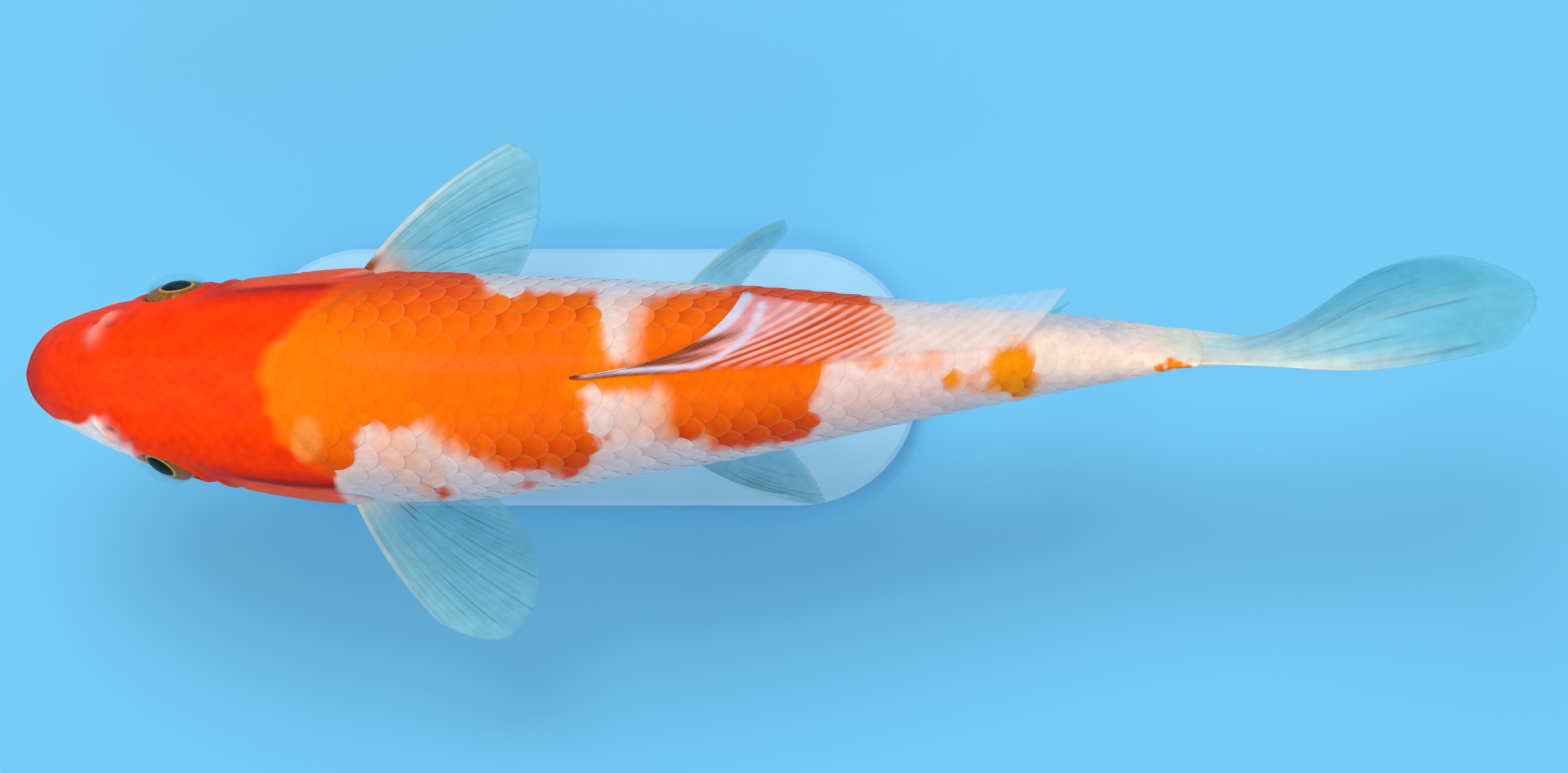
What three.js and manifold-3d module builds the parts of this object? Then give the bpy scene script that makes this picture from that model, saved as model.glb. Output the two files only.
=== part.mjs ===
// A koi carp, life size, as a still museum model on a plain stand.
//
// Units are millimetres and +Z is up. The origin is the centre of the stand's underside.
// The fish looks along -X, so its right side is +Y and its left side is -Y.
// A place on the fish is a station (millimetres back from the tip of the snout), a distance
// sideways, and a height over the axis of the body.
// The body is one closed form, lofted through its stations, then parted with thin cuts.

import * as THREE from 'three';
import { mergeVertices } from 'three/addons/utils/BufferGeometryUtils.js';
import Module from 'manifold-3d';

const wasm = await Module();
wasm.setup();

// ---------------------------------------------------------------- driving dimensions

const SNOUT_X = -125;
const AXIS_HEIGHT = 97;
const GAP = 0.3;
const WELD = 1e-4;
const LEFT = -1;
const RIGHT = 1;

// The body at each station: where its middle lies, then how far it reaches from there.
// [station, sideways, height, half width, rise to the back, fall to the belly]
const BODY_STATIONS = [
  [0, 0.5, -9, 0, 0, 0],
  [1, 0.7, -8.7, 5.2, 5.4, 4.4],
  [4.2, 1, -7.8, 9.3, 10.4, 7.6],
  [10, 0.8, -6.6, 13, 15.7, 10.8],
  [19, 0, -5, 16.7, 20.9, 14.4],
  [31, -0.7, -3.6, 20.2, 25.7, 18],
  [46, -1.5, -2.4, 23.6, 30.5, 22.4],
  [62, -2.1, -1.5, 26, 34.6, 26.9],
  [78, -2.2, -1, 26.7, 37.4, 30],
  [100, -2.3, -1, 26.3, 39.2, 32.4],
  [122, -1.4, -1, 24.6, 39.4, 33.2],
  [145, 0, -0.5, 22.1, 37.2, 32.2],
  [168, 1.3, 0, 19.6, 33.4, 29.6],
  [192, 2.9, 0, 16, 28, 25.4],
  [216, 4.3, 0.3, 12.3, 22.2, 20.2],
  [240, 5.5, 0.5, 8.9, 17.4, 16.4],
  [256, 6.2, 0.6, 5.9, 15.4, 15],
  [266, 6.6, 0.7, 2.9, 15.8, 15.6],
  [271, 6.8, 0.7, 1.6, 15, 14.8],
  [273, 6.9, 0.7, 0, 0, 0],
];
const BODY_RINGS = 40;
const BODY_SIDES = 28;
// Sections are a little squarer than an ellipse, most of all on the head.
const HEAD_SQUARENESS = 2.5;
const TRUNK_SQUARENESS = 2.15;
const SQUARENESS_BLEND = [47, 109];
// The tail stalk leans, its upper edge to the fish's left.
const STALK = { start: 228, leanDegrees: 15, leanStart: 225, leanEnd: 270 };

// Seen from the side, as [station, height]: the gill opening from nape to throat,
// the gill cover in front of it, and the lower jaw under the line of the mouth.
const GILL_LINE = [[52, 60], [54, 33], [66, 21], [75.5, 10], [78.5, -3], [73, -16], [60, -25], [50, -40]];
const COVER_OUTLINE = [[47.5, -2], [50, 8], [57, 14.5], [68, 15], [90, 12], [92, -22], [64, -22], [52, -16]];
const COVER_THICKNESS = 2.4;
const JAW_OUTLINE = [[-4, -10.2], [3, -10.2], [8, -11.3], [11.5, -13], [14.5, -17], [14.5, -34], [-4, -34]];

const EYE = { station: 34, height: 5.5, aside: 18.2, radius: 8.2, depth: 6.4, toeIn: 14, upturn: 12 };

// A feeler grows from its root and ends at root plus reach.
const BARBEL_UPPER = { root: [7, 10.4, -10], reach: [2.8, 2.8, -2.6], radius: 0.5 };
const BARBEL_LOWER = { root: [12.5, 12.6, -14], reach: [6.5, 4.6, -5.4], radius: 0.65 };
const BARBEL_TIP = 0.55;

// Fins: angles in degrees. Headings are seen from above, measured outward from the fish's line.
const FIN_EDGE = 0.6;
// An edge says where along the fin its longest ray stands, and how much shorter the first and
// last rays are.
const PECTORAL = { length: 57, rays: 10, steps: 9, root: 4, taper: 5 };
const PECTORAL_POSE = {
  [LEFT]: {
    lead: 73, trail: 11, bend: 28, drop: 20,
    edge: { longest: 0.2, frontLoss: 0.22, backLoss: 0.85, power: 1.8 },
  },
  [RIGHT]: {
    lead: 60, trail: -1, bend: 31, drop: 13,
    edge: { longest: 0.1, frontLoss: 0.03, backLoss: 0.7, power: 1.1 },
  },
};
const PELVIC = { length: 50, rays: 6, steps: 8, root: 3, taper: 5 };
const PELVIC_POSE = {
  [LEFT]: {
    lead: 53, trail: 15, bend: 50, drop: 16,
    edge: { longest: 0.1, frontLoss: 0.2, backLoss: 0.44, power: 1.2 },
  },
  [RIGHT]: {
    lead: 62, trail: 40, bend: 42, drop: 30,
    edge: { longest: 0.27, frontLoss: 0, backLoss: 0.85, power: 0.95 },
  },
};
const DORSAL = { start: 125, base: 102, length: 48, drape: 0.042, rays: 18, steps: 7, root: 2, taper: 5 };
const ANAL = {
  start: 213, base: 17, length: 41, lead: 43, trail: 58, lean: 28, rays: 5, steps: 6, root: 2.4, taper: 5,
  edge: { longest: 0.15, frontLoss: 0.05, backLoss: 0.56, power: 1.1 },
};
// Tail fin: how far its ends fall short at the tips, and how strongly its upper edge curls over
// before and behind the line where the curl sets in.
const CAUDAL = {
  start: 266, length: 81.5, notch: 48, tipLoss: 9, halfBase: 13.4, spread: 14.5,
  curlLine: 300, curlBefore: 0.0022, curlBehind: 0.0038, rays: 9, steps: 11, root: 2.6, taper: 8,
};
// Each lobe's share of the tail fin, from its upper edge at 0 to its lower edge at 1.
const LOBES = { caudal_fin_upper: [0, 0.494], caudal_fin_lower: [0.506, 1] };

const STAND = { length: 168, width: 64, thickness: 8, corner: 30, bevel: 1.2 };
const ROD = { radius: 3, places: { stand_rod_front: -42, stand_rod_rear: 42 } };

// ---------------------------------------------------------------- materials

function finish(color, roughness, metalness = 0) {
  return new THREE.MeshStandardMaterial({ color, roughness, metalness });
}

const redSkin = finish(0xe8391a, 0.3);
const orangeScales = finish(0xf26a12, 0.32);
const paleSkin = finish(0xefe3dc, 0.34);
const clearFin = finish(0xc9d8d8, 0.4);
const eyeGloss = finish(0x2a1a0c, 0.08);
const standPaint = finish(0xd9dde0, 0.45);

// ---------------------------------------------------------------- small helpers

const degrees = Math.PI / 180;
const mix = THREE.MathUtils.lerp;
const ramp = THREE.MathUtils.smoothstep;

function place(station, sideways, height) {
  return new THREE.Vector3(SNOUT_X + station, sideways, AXIS_HEIGHT + height);
}

function signedVolume(form) {
  const spots = form.attributes.position;
  const corner = (i) => new THREE.Vector3().fromBufferAttribute(spots, form.index.getX(i));
  let volume = 0;
  for (let i = 0; i < form.index.count; i += 3) {
    volume += corner(i).dot(corner(i + 1).cross(corner(i + 2))) / 6;
  }
  return volume;
}

// Welding leaves faces of no area at the poles of a sphere. They go.
function dropFlatFaces(form) {
  const corners = Array.from(form.index.array);
  const kept = [];
  for (let i = 0; i < corners.length; i += 3) {
    const [a, b, c] = corners.slice(i, i + 3);
    if (a !== b && b !== c && c !== a) kept.push(a, b, c);
  }
  form.setIndex(kept);
}

function weld(form) {
  form.deleteAttribute('normal');
  form.deleteAttribute('uv');
  return mergeVertices(form, WELD);
}

// Moves every vertex of a closed three.js form, welds its seams and turns its faces outward.
function shaped(form, move) {
  const spots = form.attributes.position;
  const turns = form.attributes.uv;
  for (let i = 0; i < spots.count; i += 1) {
    const from = new THREE.Vector3().fromBufferAttribute(spots, i);
    const to = move(from, turns.getX(i), turns.getY(i));
    spots.setXYZ(i, to.x, to.y, to.z);
  }
  const welded = weld(form);
  dropFlatFaces(welded);
  if (signedVolume(welded) < 0) welded.index.array.reverse();
  return welded;
}

function solid(form) {
  const welded = weld(form.clone());
  return new wasm.Manifold(new wasm.Mesh({
    numProp: 3,
    vertProperties: new Float32Array(welded.attributes.position.array),
    triVerts: new Uint32Array(welded.index.array),
  }));
}

// The largest single body of a solid, as a named mesh.
function piece(name, whole, material) {
  const [body] = whole.decompose().sort((a, b) => b.volume() - a.volume());
  const { vertProperties, triVerts } = body.getMesh();
  const form = new THREE.BufferGeometry();
  form.setAttribute('position', new THREE.BufferAttribute(vertProperties, 3));
  form.setIndex(new THREE.BufferAttribute(triVerts, 1));
  form.computeVertexNormals();
  const mesh = new THREE.Mesh(form, material);
  mesh.name = name;
  return mesh;
}

// ---------------------------------------------------------------- body

function stationCurve(columns) {
  const spots = BODY_STATIONS.map((row) => new THREE.Vector3(...row.slice(columns, columns + 3)));
  return new THREE.CatmullRomCurve3(spots, false, 'catmullrom', 0.5);
}

const bodyMiddle = stationCurve(0);
const bodyReach = stationCurve(3);

// A point on the body: along runs from 0 at the snout to 1 at the tail, and turn goes once
// round from the back. Grow pushes the surface out, slim takes from the sides only.
function bodyPoint(along, turn, grow, slim) {
  const middle = bodyMiddle.getPoint(along);
  const reach = bodyReach.getPoint(along);
  const power = 2 / mix(HEAD_SQUARENESS, TRUNK_SQUARENESS, ramp(middle.x, ...SQUARENESS_BLEND));
  const across = Math.sin(turn * 2 * Math.PI);
  const upward = Math.cos(turn * 2 * Math.PI);
  const wide = Math.max(reach.x - slim, 0) + grow;
  const tall = (upward > 0 ? reach.y : reach.z) + grow;
  const section = new THREE.Vector2(
    Math.sign(across) * wide * Math.abs(across) ** power,
    Math.sign(upward) * tall * Math.abs(upward) ** power,
  );
  const lean = STALK.leanDegrees * ramp(middle.x, STALK.leanStart, STALK.leanEnd) * degrees;
  section.rotateAround(new THREE.Vector2(), lean);
  return place(middle.x, middle.y + section.x, middle.z + section.y);
}

function bodySolid(grow = 0, slim = 0) {
  const form = new THREE.SphereGeometry(1, BODY_SIDES, BODY_RINGS);
  return solid(shaped(form, (from, turn, up) => {
    const along = 1 - up;
    const atPole = along < WELD || along > 1 - WELD;
    const spot = bodyPoint(along, turn, atPole ? 0 : grow, slim);
    if (atPole) spot.x += Math.sign(along - 0.5) * grow;
    return spot;
  }));
}

// How the body lies at a station, found by halving.
function bodyAt(station) {
  let low = 0;
  let high = 1;
  for (let i = 0; i < 24; i += 1) {
    const half = (low + high) / 2;
    if (bodyMiddle.getPoint(half).x < station) low = half;
    else high = half;
  }
  const middle = bodyMiddle.getPoint(low);
  const reach = bodyReach.getPoint(low);
  return { sideways: middle.y, back: middle.z + reach.y, belly: middle.z - reach.z };
}

// A slab that stands across the fish, cut to an outline seen from the side.
function sideSlab(outline, shift = 0) {
  const depth = 120;
  const shape = new THREE.Shape(outline.map(([x, z]) => new THREE.Vector2(x + shift, z)));
  const slab = new THREE.ExtrudeGeometry(shape, { depth, bevelEnabled: false });
  slab.translate(0, 0, -depth / 2);
  slab.rotateX(Math.PI / 2);
  slab.translate(SNOUT_X, 0, AXIS_HEIGHT);
  return solid(slab);
}

// An outline pushed out from its middle.
function grown(outline, by) {
  const corners = outline.map(([x, z]) => new THREE.Vector2(x, z));
  const middle = corners.reduce((sum, corner) => sum.add(corner), new THREE.Vector2());
  middle.divideScalar(corners.length);
  return corners.map((corner) => {
    const away = corner.clone().sub(middle);
    away.setLength(away.length() + by);
    return away.add(middle).toArray();
  });
}

// A closed outline with its corners rounded into one smooth curve.
function smooth(outline, steps) {
  const corners = outline.map(([x, z]) => new THREE.Vector3(x, z, 0));
  const curve = new THREE.CatmullRomCurve3(corners, true, 'centripetal');
  return curve.getPoints(steps).slice(0, steps).map((spot) => [spot.x, spot.y]);
}

// All that lies in front of the gill opening.
function headOutline() {
  const curve = new THREE.SplineCurve(GILL_LINE.map(([x, z]) => new THREE.Vector2(x, z)));
  const edge = curve.getPoints(24).map((spot) => spot.toArray());
  const [top, bottom] = [edge.at(0)[1], edge.at(-1)[1]];
  return [[-30, top], [-30, bottom], ...edge.reverse()];
}

// All that lies on one side of the fish.
function sideHalf(side) {
  const box = new THREE.BoxGeometry(400, 100, 300);
  box.translate(0, side * 50.2, AXIS_HEIGHT);
  return solid(box);
}

// An eye: a flattened ball that looks outward, a little forward and a little up.
function eyeSolid(side, grow) {
  const form = new THREE.SphereGeometry(1, 16, 10);
  form.rotateX(Math.PI / 2);
  form.scale(EYE.radius + grow, EYE.depth + grow, EYE.radius + grow);
  form.rotateX(side * EYE.upturn * degrees);
  form.rotateZ(side * EYE.toeIn * degrees);
  const middle = bodyAt(EYE.station).sideways;
  form.translate(...place(EYE.station, middle + side * EYE.aside, EYE.height).toArray());
  return solid(form);
}

const bodyWhole = bodySolid();
const bodyFit = bodySolid(GAP);
const bodyCore = bodySolid(0, COVER_THICKNESS);
const bodyCoreFit = bodySolid(0, COVER_THICKNESS + GAP);
const gillCut = sideSlab(headOutline());
const eyeSockets = eyeSolid(LEFT, GAP).add(eyeSolid(RIGHT, GAP));
const coverOutline = smooth(COVER_OUTLINE, 18);

const headAll = bodyWhole.intersect(gillCut).subtract(eyeSockets);
const coverRoom = sideSlab(grown(coverOutline, GAP)).subtract(bodyCoreFit);
const jawRoom = sideSlab(grown(JAW_OUTLINE, GAP));
const head = headAll.subtract(coverRoom).subtract(jawRoom);
const lowerJaw = headAll.intersect(sideSlab(JAW_OUTLINE));
const gillCovers = headAll.intersect(sideSlab(coverOutline)).subtract(bodyCore);

const behindHead = bodyWhole.subtract(sideSlab(headOutline(), 1.5 * GAP));
const stalkOutline = [[STALK.start, 80], [STALK.start, -80], [300, -80], [300, 80]];
const trunk = behindHead.subtract(sideSlab(stalkOutline, -GAP));
const tailStalk = behindHead.intersect(sideSlab(stalkOutline));

// ---------------------------------------------------------------- fins

// A fin is a thin sheet. Its surface is a function of reach, from the base to the edge,
// and along, from the first ray to the last. It is thickest at its root.
function finSolid({ rays, steps, root, taper }, surface) {
  const form = new THREE.BoxGeometry(1, 1, 1, steps, rays, 1);
  const small = 0.01;
  const sheet = shaped(form, (from) => {
    const reach = from.x + 0.5;
    const along = from.y + 0.5;
    const near = [Math.max(reach - small, 0), Math.max(along - small, 0)];
    const far = [Math.min(reach + small, 1), Math.min(along + small, 1)];
    const outward = surface(far[0], along).sub(surface(near[0], along));
    const across = surface(reach, far[1]).sub(surface(reach, near[1]));
    const normal = outward.cross(across).normalize();
    const thickness = mix(FIN_EDGE, root, Math.exp(-taper * reach));
    return surface(reach, along).addScaledVector(normal, from.z * thickness);
  });
  return solid(sheet).subtract(bodyFit);
}

// A ray leaves its root at a heading and bends inward, more and more towards its tip.
function ray(root, side, { length, heading, bend, drop = 0, onset = 1 }) {
  const strides = 6;
  const spot = root.clone();
  for (let i = 0; i < strides; i += 1) {
    const turn = (heading - bend * ((i + 0.5) / strides) ** onset) * degrees;
    const stride = length / strides;
    spot.x += stride * Math.cos(turn) * Math.cos(drop * degrees);
    spot.y += side * stride * Math.sin(turn) * Math.cos(drop * degrees);
    spot.z -= stride * Math.sin(drop * degrees);
  }
  return spot;
}

// How long the rays of a rounded fin are, as a share of its longest one.
function roundedEdge(along, { longest, frontLoss, backLoss, power }) {
  if (along < longest) return 1 - frontLoss * (1 - along / longest) ** 2;
  return 1 - backLoss * ((along - longest) / (1 - longest)) ** power;
}

function pectoralPoint(side, reach, along) {
  const { lead, trail, bend, drop, edge } = PECTORAL_POSE[side];
  const middle = bodyAt(80).sideways;
  const root = place(mix(72, 84, along), middle + side * mix(21, 16.5, along), mix(-17, -24, along));
  const spot = ray(root, side, {
    length: reach * PECTORAL.length * roundedEdge(along, edge),
    heading: mix(lead, trail, along ** 0.9),
    bend: bend * reach * (1 - along),
    drop: mix(drop, 9, along),
  });
  spot.z -= 2.5 * Math.sin(reach * Math.PI) * (1 - along);
  return spot;
}

function pelvicPoint(side, reach, along) {
  const { lead, trail, bend, drop, edge } = PELVIC_POSE[side];
  const middle = bodyAt(147).sideways;
  const root = place(mix(144, 150, along), middle + side * mix(10.5, 5, along), mix(-28, -30, along));
  return ray(root, side, {
    length: reach * PELVIC.length * roundedEdge(along, edge),
    heading: mix(lead, trail, along),
    bend: bend * reach * (1 - along),
    drop: mix(drop, 46, along),
  });
}

// The anal fin hangs from the belly and leans to the fish's right.
function analPoint(reach, along) {
  const station = ANAL.start + ANAL.base * along;
  const here = bodyAt(station);
  const length = reach * ANAL.length * roundedEdge(along, ANAL.edge);
  const slant = mix(ANAL.lead, ANAL.trail, along) * degrees;
  const fall = length * Math.sin(slant);
  const lean = ANAL.lean * degrees;
  const sideways = here.sideways + fall * Math.sin(lean);
  return place(station + length * Math.cos(slant), sideways, here.belly + 2.5 - fall * Math.cos(lean));
}

// The dorsal fin is folded back and lies over the fish's right side.
// Its first rays start out flat and then curl over the most.
function dorsalPoint(reach, along) {
  const station = DORSAL.start + DORSAL.base * along;
  const front = Math.exp(-9 * along);
  const spot = ray(place(station, bodyAt(station).sideways + 0.6, 0), RIGHT, {
    length: reach * DORSAL.length * (1 - 0.58 * along ** 0.9),
    heading: 19 + 26 * along ** 3 - 12 * front,
    bend: -(10 + 48 * front) * reach ** 2,
    onset: 2,
  });
  const here = bodyAt(spot.x - SNOUT_X);
  const aside = spot.y - here.sideways;
  const lift = mix(-2, 1.3, ramp(reach, 0, 0.08)) + 1.6 * reach;
  spot.z = AXIS_HEIGHT + here.back + lift - DORSAL.drape * aside ** 2;
  return spot;
}

// The tail fin has two lobes and a notch between them. It is cupped, so that its middle
// swings to the fish's right, and the upper lobe leans out over the lower one.
function caudalPoint(reach, along) {
  const lobe = 1 - 2 * along;
  const fromFork = Math.abs(lobe);
  const tipLoss = CAUDAL.tipLoss * Math.max((fromFork - 0.7) / 0.3, 0) ** 2;
  const fullLength = mix(CAUDAL.notch, CAUDAL.length, ramp(fromFork, 0, 0.95)) - tipLoss;
  const length = reach * fullLength * (lobe > 0 ? 1.05 : 1);
  const slant = lobe * CAUDAL.spread * degrees;
  const station = CAUDAL.start + length * Math.cos(slant);
  const height = 0.7 + lobe * CAUDAL.halfBase + length * Math.sin(slant);
  const curl = station > CAUDAL.curlLine ? CAUDAL.curlBehind : CAUDAL.curlBefore;
  const upperEdge = 1.1 + curl * (station - CAUDAL.curlLine) ** 2;
  const fold = mix(7, 31, ramp(station, 264, 338));
  const cup = lobe > 0 ? 1 - fromFork ** 2.6 : 1 - 0.5 * fromFork ** 2;
  const sideways = mix(6.8 - 4 * lobe, mix(upperEdge, fold, cup), ramp(station, 268, 312));
  return place(station, sideways, height);
}

// ---------------------------------------------------------------- feelers and stand

// A feeler: a cylinder bent along a curve and drawn out thinner towards its tip.
function barbelSolid(side, { root, reach, radius }) {
  const middle = bodyAt(root[0]).sideways;
  const spot = (share) => place(
    root[0] + share * reach[0],
    middle + side * (root[1] + share * reach[1]),
    root[2] + share * reach[2],
  );
  const elbow = spot(0.4);
  elbow.y += side * 0.25 * reach[1];
  const curve = new THREE.QuadraticBezierCurve3(spot(-0.4), elbow, spot(1));
  const upward = new THREE.Vector3(0, 0, 1);
  const form = new THREE.CylinderGeometry(1, 1, 1, 8, 6);
  return solid(shaped(form, (from) => {
    const along = from.y + 0.5;
    const ahead = curve.getTangent(along);
    const across = ahead.clone().cross(upward).normalize();
    const over = across.clone().cross(ahead);
    const size = radius * mix(1, BARBEL_TIP, along);
    return curve.getPoint(along).addScaledVector(across, from.x * size).addScaledVector(over, from.z * size);
  })).subtract(bodyFit);
}

function standBase() {
  const { length, width, thickness, corner, bevel } = STAND;
  const round = corner - bevel;
  const reachX = length / 2 - corner;
  const reachY = width / 2 - corner;
  const shape = new THREE.Shape();
  shape.absarc(reachX, reachY, round, 0, Math.PI / 2);
  shape.absarc(-reachX, reachY, round, Math.PI / 2, Math.PI);
  shape.absarc(-reachX, -reachY, round, Math.PI, Math.PI * 1.5);
  shape.absarc(reachX, -reachY, round, Math.PI * 1.5, Math.PI * 2);
  const plate = new THREE.ExtrudeGeometry(shape, {
    depth: thickness - 2 * bevel,
    bevelThickness: bevel,
    bevelSize: bevel,
    bevelSegments: 1,
    curveSegments: 6,
  });
  plate.translate(0, 0, bevel);
  return solid(plate);
}

// A rod stands just clear of the base and ends in the shape of the belly above it.
function standRod(x) {
  const foot = STAND.thickness + GAP;
  const height = AXIS_HEIGHT - foot;
  const rod = new THREE.CylinderGeometry(ROD.radius, ROD.radius, height, 20);
  rod.rotateX(Math.PI / 2);
  rod.translate(x, 0, foot + height / 2);
  return solid(rod).subtract(bodyFit);
}

// ---------------------------------------------------------------- the model

const koi = new THREE.Group();

koi.add(piece('head', head, redSkin));
koi.add(piece('lower_jaw', lowerJaw, redSkin));
koi.add(piece('trunk', trunk, orangeScales));
koi.add(piece('tail_stalk', tailStalk, paleSkin));

for (const [side, name] of [[LEFT, 'left'], [RIGHT, 'right']]) {
  const pectoral = finSolid(PECTORAL, (reach, along) => pectoralPoint(side, reach, along));
  const pelvic = finSolid(PELVIC, (reach, along) => pelvicPoint(side, reach, along));
  koi.add(piece(`gill_cover_${name}`, gillCovers.intersect(sideHalf(side)), redSkin));
  koi.add(piece(`eye_${name}`, eyeSolid(side, 0), eyeGloss));
  koi.add(piece(`barbel_upper_${name}`, barbelSolid(side, BARBEL_UPPER), redSkin));
  koi.add(piece(`barbel_lower_${name}`, barbelSolid(side, BARBEL_LOWER), paleSkin));
  koi.add(piece(`pectoral_fin_${name}`, pectoral, clearFin));
  koi.add(piece(`pelvic_fin_${name}`, pelvic, clearFin));
}

koi.add(piece('dorsal_fin', finSolid(DORSAL, dorsalPoint), clearFin));
koi.add(piece('anal_fin', finSolid(ANAL, analPoint), clearFin));
for (const [name, [first, last]] of Object.entries(LOBES)) {
  const lobe = finSolid(CAUDAL, (reach, along) => caudalPoint(reach, mix(first, last, along)));
  koi.add(piece(name, lobe, clearFin));
}

koi.add(piece('stand_base', standBase(), standPaint));
for (const [name, x] of Object.entries(ROD.places)) {
  koi.add(piece(name, standRod(x), standPaint));
}

export default koi;
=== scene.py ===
# %% [markdown]
# # A koi carp on a plain stand
#
# The fish is a young white koi with red-orange plates, modelled at life size. The solids that
# carry it are loaded first, and every piece made here lies where they are. A fish is one form
# under a coat of scales, so the order is: form, markings, skin, scales, fins, eyes and stand.

import bpy
import numpy as np
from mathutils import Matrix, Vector


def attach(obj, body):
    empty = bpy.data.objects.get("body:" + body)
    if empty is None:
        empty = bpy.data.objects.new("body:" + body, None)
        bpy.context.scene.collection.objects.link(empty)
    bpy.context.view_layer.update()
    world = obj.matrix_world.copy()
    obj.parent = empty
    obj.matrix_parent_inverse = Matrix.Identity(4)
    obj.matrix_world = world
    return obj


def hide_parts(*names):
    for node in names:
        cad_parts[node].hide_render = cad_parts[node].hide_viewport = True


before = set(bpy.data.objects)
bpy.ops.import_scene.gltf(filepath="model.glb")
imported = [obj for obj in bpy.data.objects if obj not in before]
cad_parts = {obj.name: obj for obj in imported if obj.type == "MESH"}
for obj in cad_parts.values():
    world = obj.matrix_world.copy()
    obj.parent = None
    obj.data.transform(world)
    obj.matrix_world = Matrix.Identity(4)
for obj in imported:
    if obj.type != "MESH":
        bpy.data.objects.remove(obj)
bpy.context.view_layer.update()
MM = 0.001
print("nodes:", len(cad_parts))

# %% [markdown]
# ## Camera and light
#
# A koi is judged from straight above, as it is seen in its pond, so the camera looks straight
# down. A long lens keeps the head and the tail at one scale. One broad lamp stands beyond the
# fish's right side, as a window would, and a second fills the shadows from its left. One more
# stands behind the tail and one before the snout, and two low ones light the flanks. All are
# large, because a wet skin shows a lamp as a highlight of the lamp's own shape.

# %% Camera
CAMERA_ABOVE = 1.2
BODY_HEIGHT = 0.097
VIEW_WIDTH = 0.3638
VIEW_MIDDLE = (0.0504, -0.0023)
SENSOR = 36

camera_data = bpy.data.cameras.new("camera")
camera_data.sensor_width = SENSOR
camera_data.lens = SENSOR * CAMERA_ABOVE / VIEW_WIDTH
camera_data.clip_start = 0.05
camera = bpy.data.objects.new("camera", camera_data)
camera.location = (*VIEW_MIDDLE, BODY_HEIGHT + CAMERA_ABOVE)
bpy.context.collection.objects.link(camera)
bpy.context.scene.camera = camera
bpy.context.scene.view_settings.view_transform = "Standard"
print("lens:", round(camera_data.lens, 1), "mm")


# %% Lamps
# Name, place and size in metres, power in watts, and colour.
LAMPS = [
    ("window_lamp", (-0.2, 0.55, 1.25), (0.6, 0.45), 9.0, (1.0, 0.97, 0.92)),
    ("fill_lamp", (0.3, -0.9, 1.0), (1.2, 0.8), 5.0, (0.95, 0.97, 1.0)),
    ("rear_lamp", (0.9, 0.3, 0.7), (0.7, 0.7), 2.2, (0.97, 0.97, 1.0)),
    ("front_lamp", (-0.85, -0.1, 0.7), (0.7, 0.7), 2.4, (1.0, 0.97, 0.94)),
    ("right_lamp", (0, 1.3, 0.5), (0.9, 0.4), 2.4, (1.0, 0.88, 0.8)),
    ("left_lamp", (0, -1.3, 0.5), (0.9, 0.4), 1.2, (1.0, 0.88, 0.8)),
]
SKY_COLOR, SKY_STRENGTH = (0.86, 0.93, 1.0, 1), 0.4

for name, stand_at, size, power, color in LAMPS:
    data = bpy.data.lights.new(name, "AREA")
    data.shape = "RECTANGLE"
    data.size, data.size_y = size
    data.energy = power
    data.color = color
    lamp = bpy.data.objects.new(name, data)
    lamp.location = stand_at
    aim = Vector((*VIEW_MIDDLE, BODY_HEIGHT)) - Vector(stand_at)
    lamp.rotation_euler = aim.to_track_quat("-Z", "Y").to_euler()
    bpy.context.collection.objects.link(lamp)

sky = bpy.data.worlds.new("studio")
sky.use_nodes = True
background = sky.node_tree.nodes["Background"].inputs
background["Color"].default_value = SKY_COLOR
background["Strength"].default_value = SKY_STRENGTH
bpy.context.scene.world = sky
print("lamps:", len(LAMPS))

# %% [markdown]
# ## The form of the body
#
# A fish's body is a spindle. Its sections are near to ellipses, a little squarer on the head.
# Each row below is one section: its station back from the snout, where its middle lies, and
# how far it reaches sideways, up and down, all in millimetres. A smooth curve runs through the
# rows, so a point on the body needs only a station and a turn round from the back. The turn is
# positive on the fish's right.

# %% Sections and surface
SNOUT_X = -125
AXIS_HEIGHT = 97
BODY_LENGTH = 273
LEFT, RIGHT = -1, 1
BODY_STATIONS = np.array([
    [0, 0.5, -9, 0, 0, 0],
    [1, 0.7, -8.7, 5.2, 5.4, 4.4],
    [4.2, 1, -7.8, 9.3, 10.4, 7.6],
    [10, 0.8, -6.6, 13, 15.7, 10.8],
    [19, 0, -5, 16.7, 20.9, 14.4],
    [31, -0.7, -3.6, 20.2, 25.7, 18],
    [46, -1.5, -2.4, 23.6, 30.5, 22.4],
    [62, -2.1, -1.5, 26, 34.6, 26.9],
    [78, -2.2, -1, 26.7, 37.4, 30],
    [100, -2.3, -1, 26.3, 39.2, 32.4],
    [122, -1.4, -1, 24.6, 39.4, 33.2],
    [145, 0, -0.5, 22.1, 37.2, 32.2],
    [168, 1.3, 0, 19.6, 33.4, 29.6],
    [192, 2.9, 0, 16, 28, 25.4],
    [216, 4.3, 0.3, 12.3, 22.2, 20.2],
    [240, 5.5, 0.5, 8.9, 17.4, 16.4],
    [256, 6.2, 0.6, 5.9, 15.4, 15],
    [266, 6.6, 0.7, 2.9, 15.8, 15.6],
    [271, 6.8, 0.7, 1.6, 15, 14.8],
    [273, 6.9, 0.7, 0, 0, 0],
])
HEAD_SQUARENESS, TRUNK_SQUARENESS = 2.5, 2.15
SQUARE_TO, ROUND_FROM = 47, 109
STALK_LEAN = np.radians(15)
LEAN_FROM, LEAN_TO = 225, 270


def mix(first, last, share):
    return first + (last - first) * share


def ramp(value, low, high):
    share = np.clip((value - low) / (high - low), 0, 1)
    return share * share * (3 - 2 * share)


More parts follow.
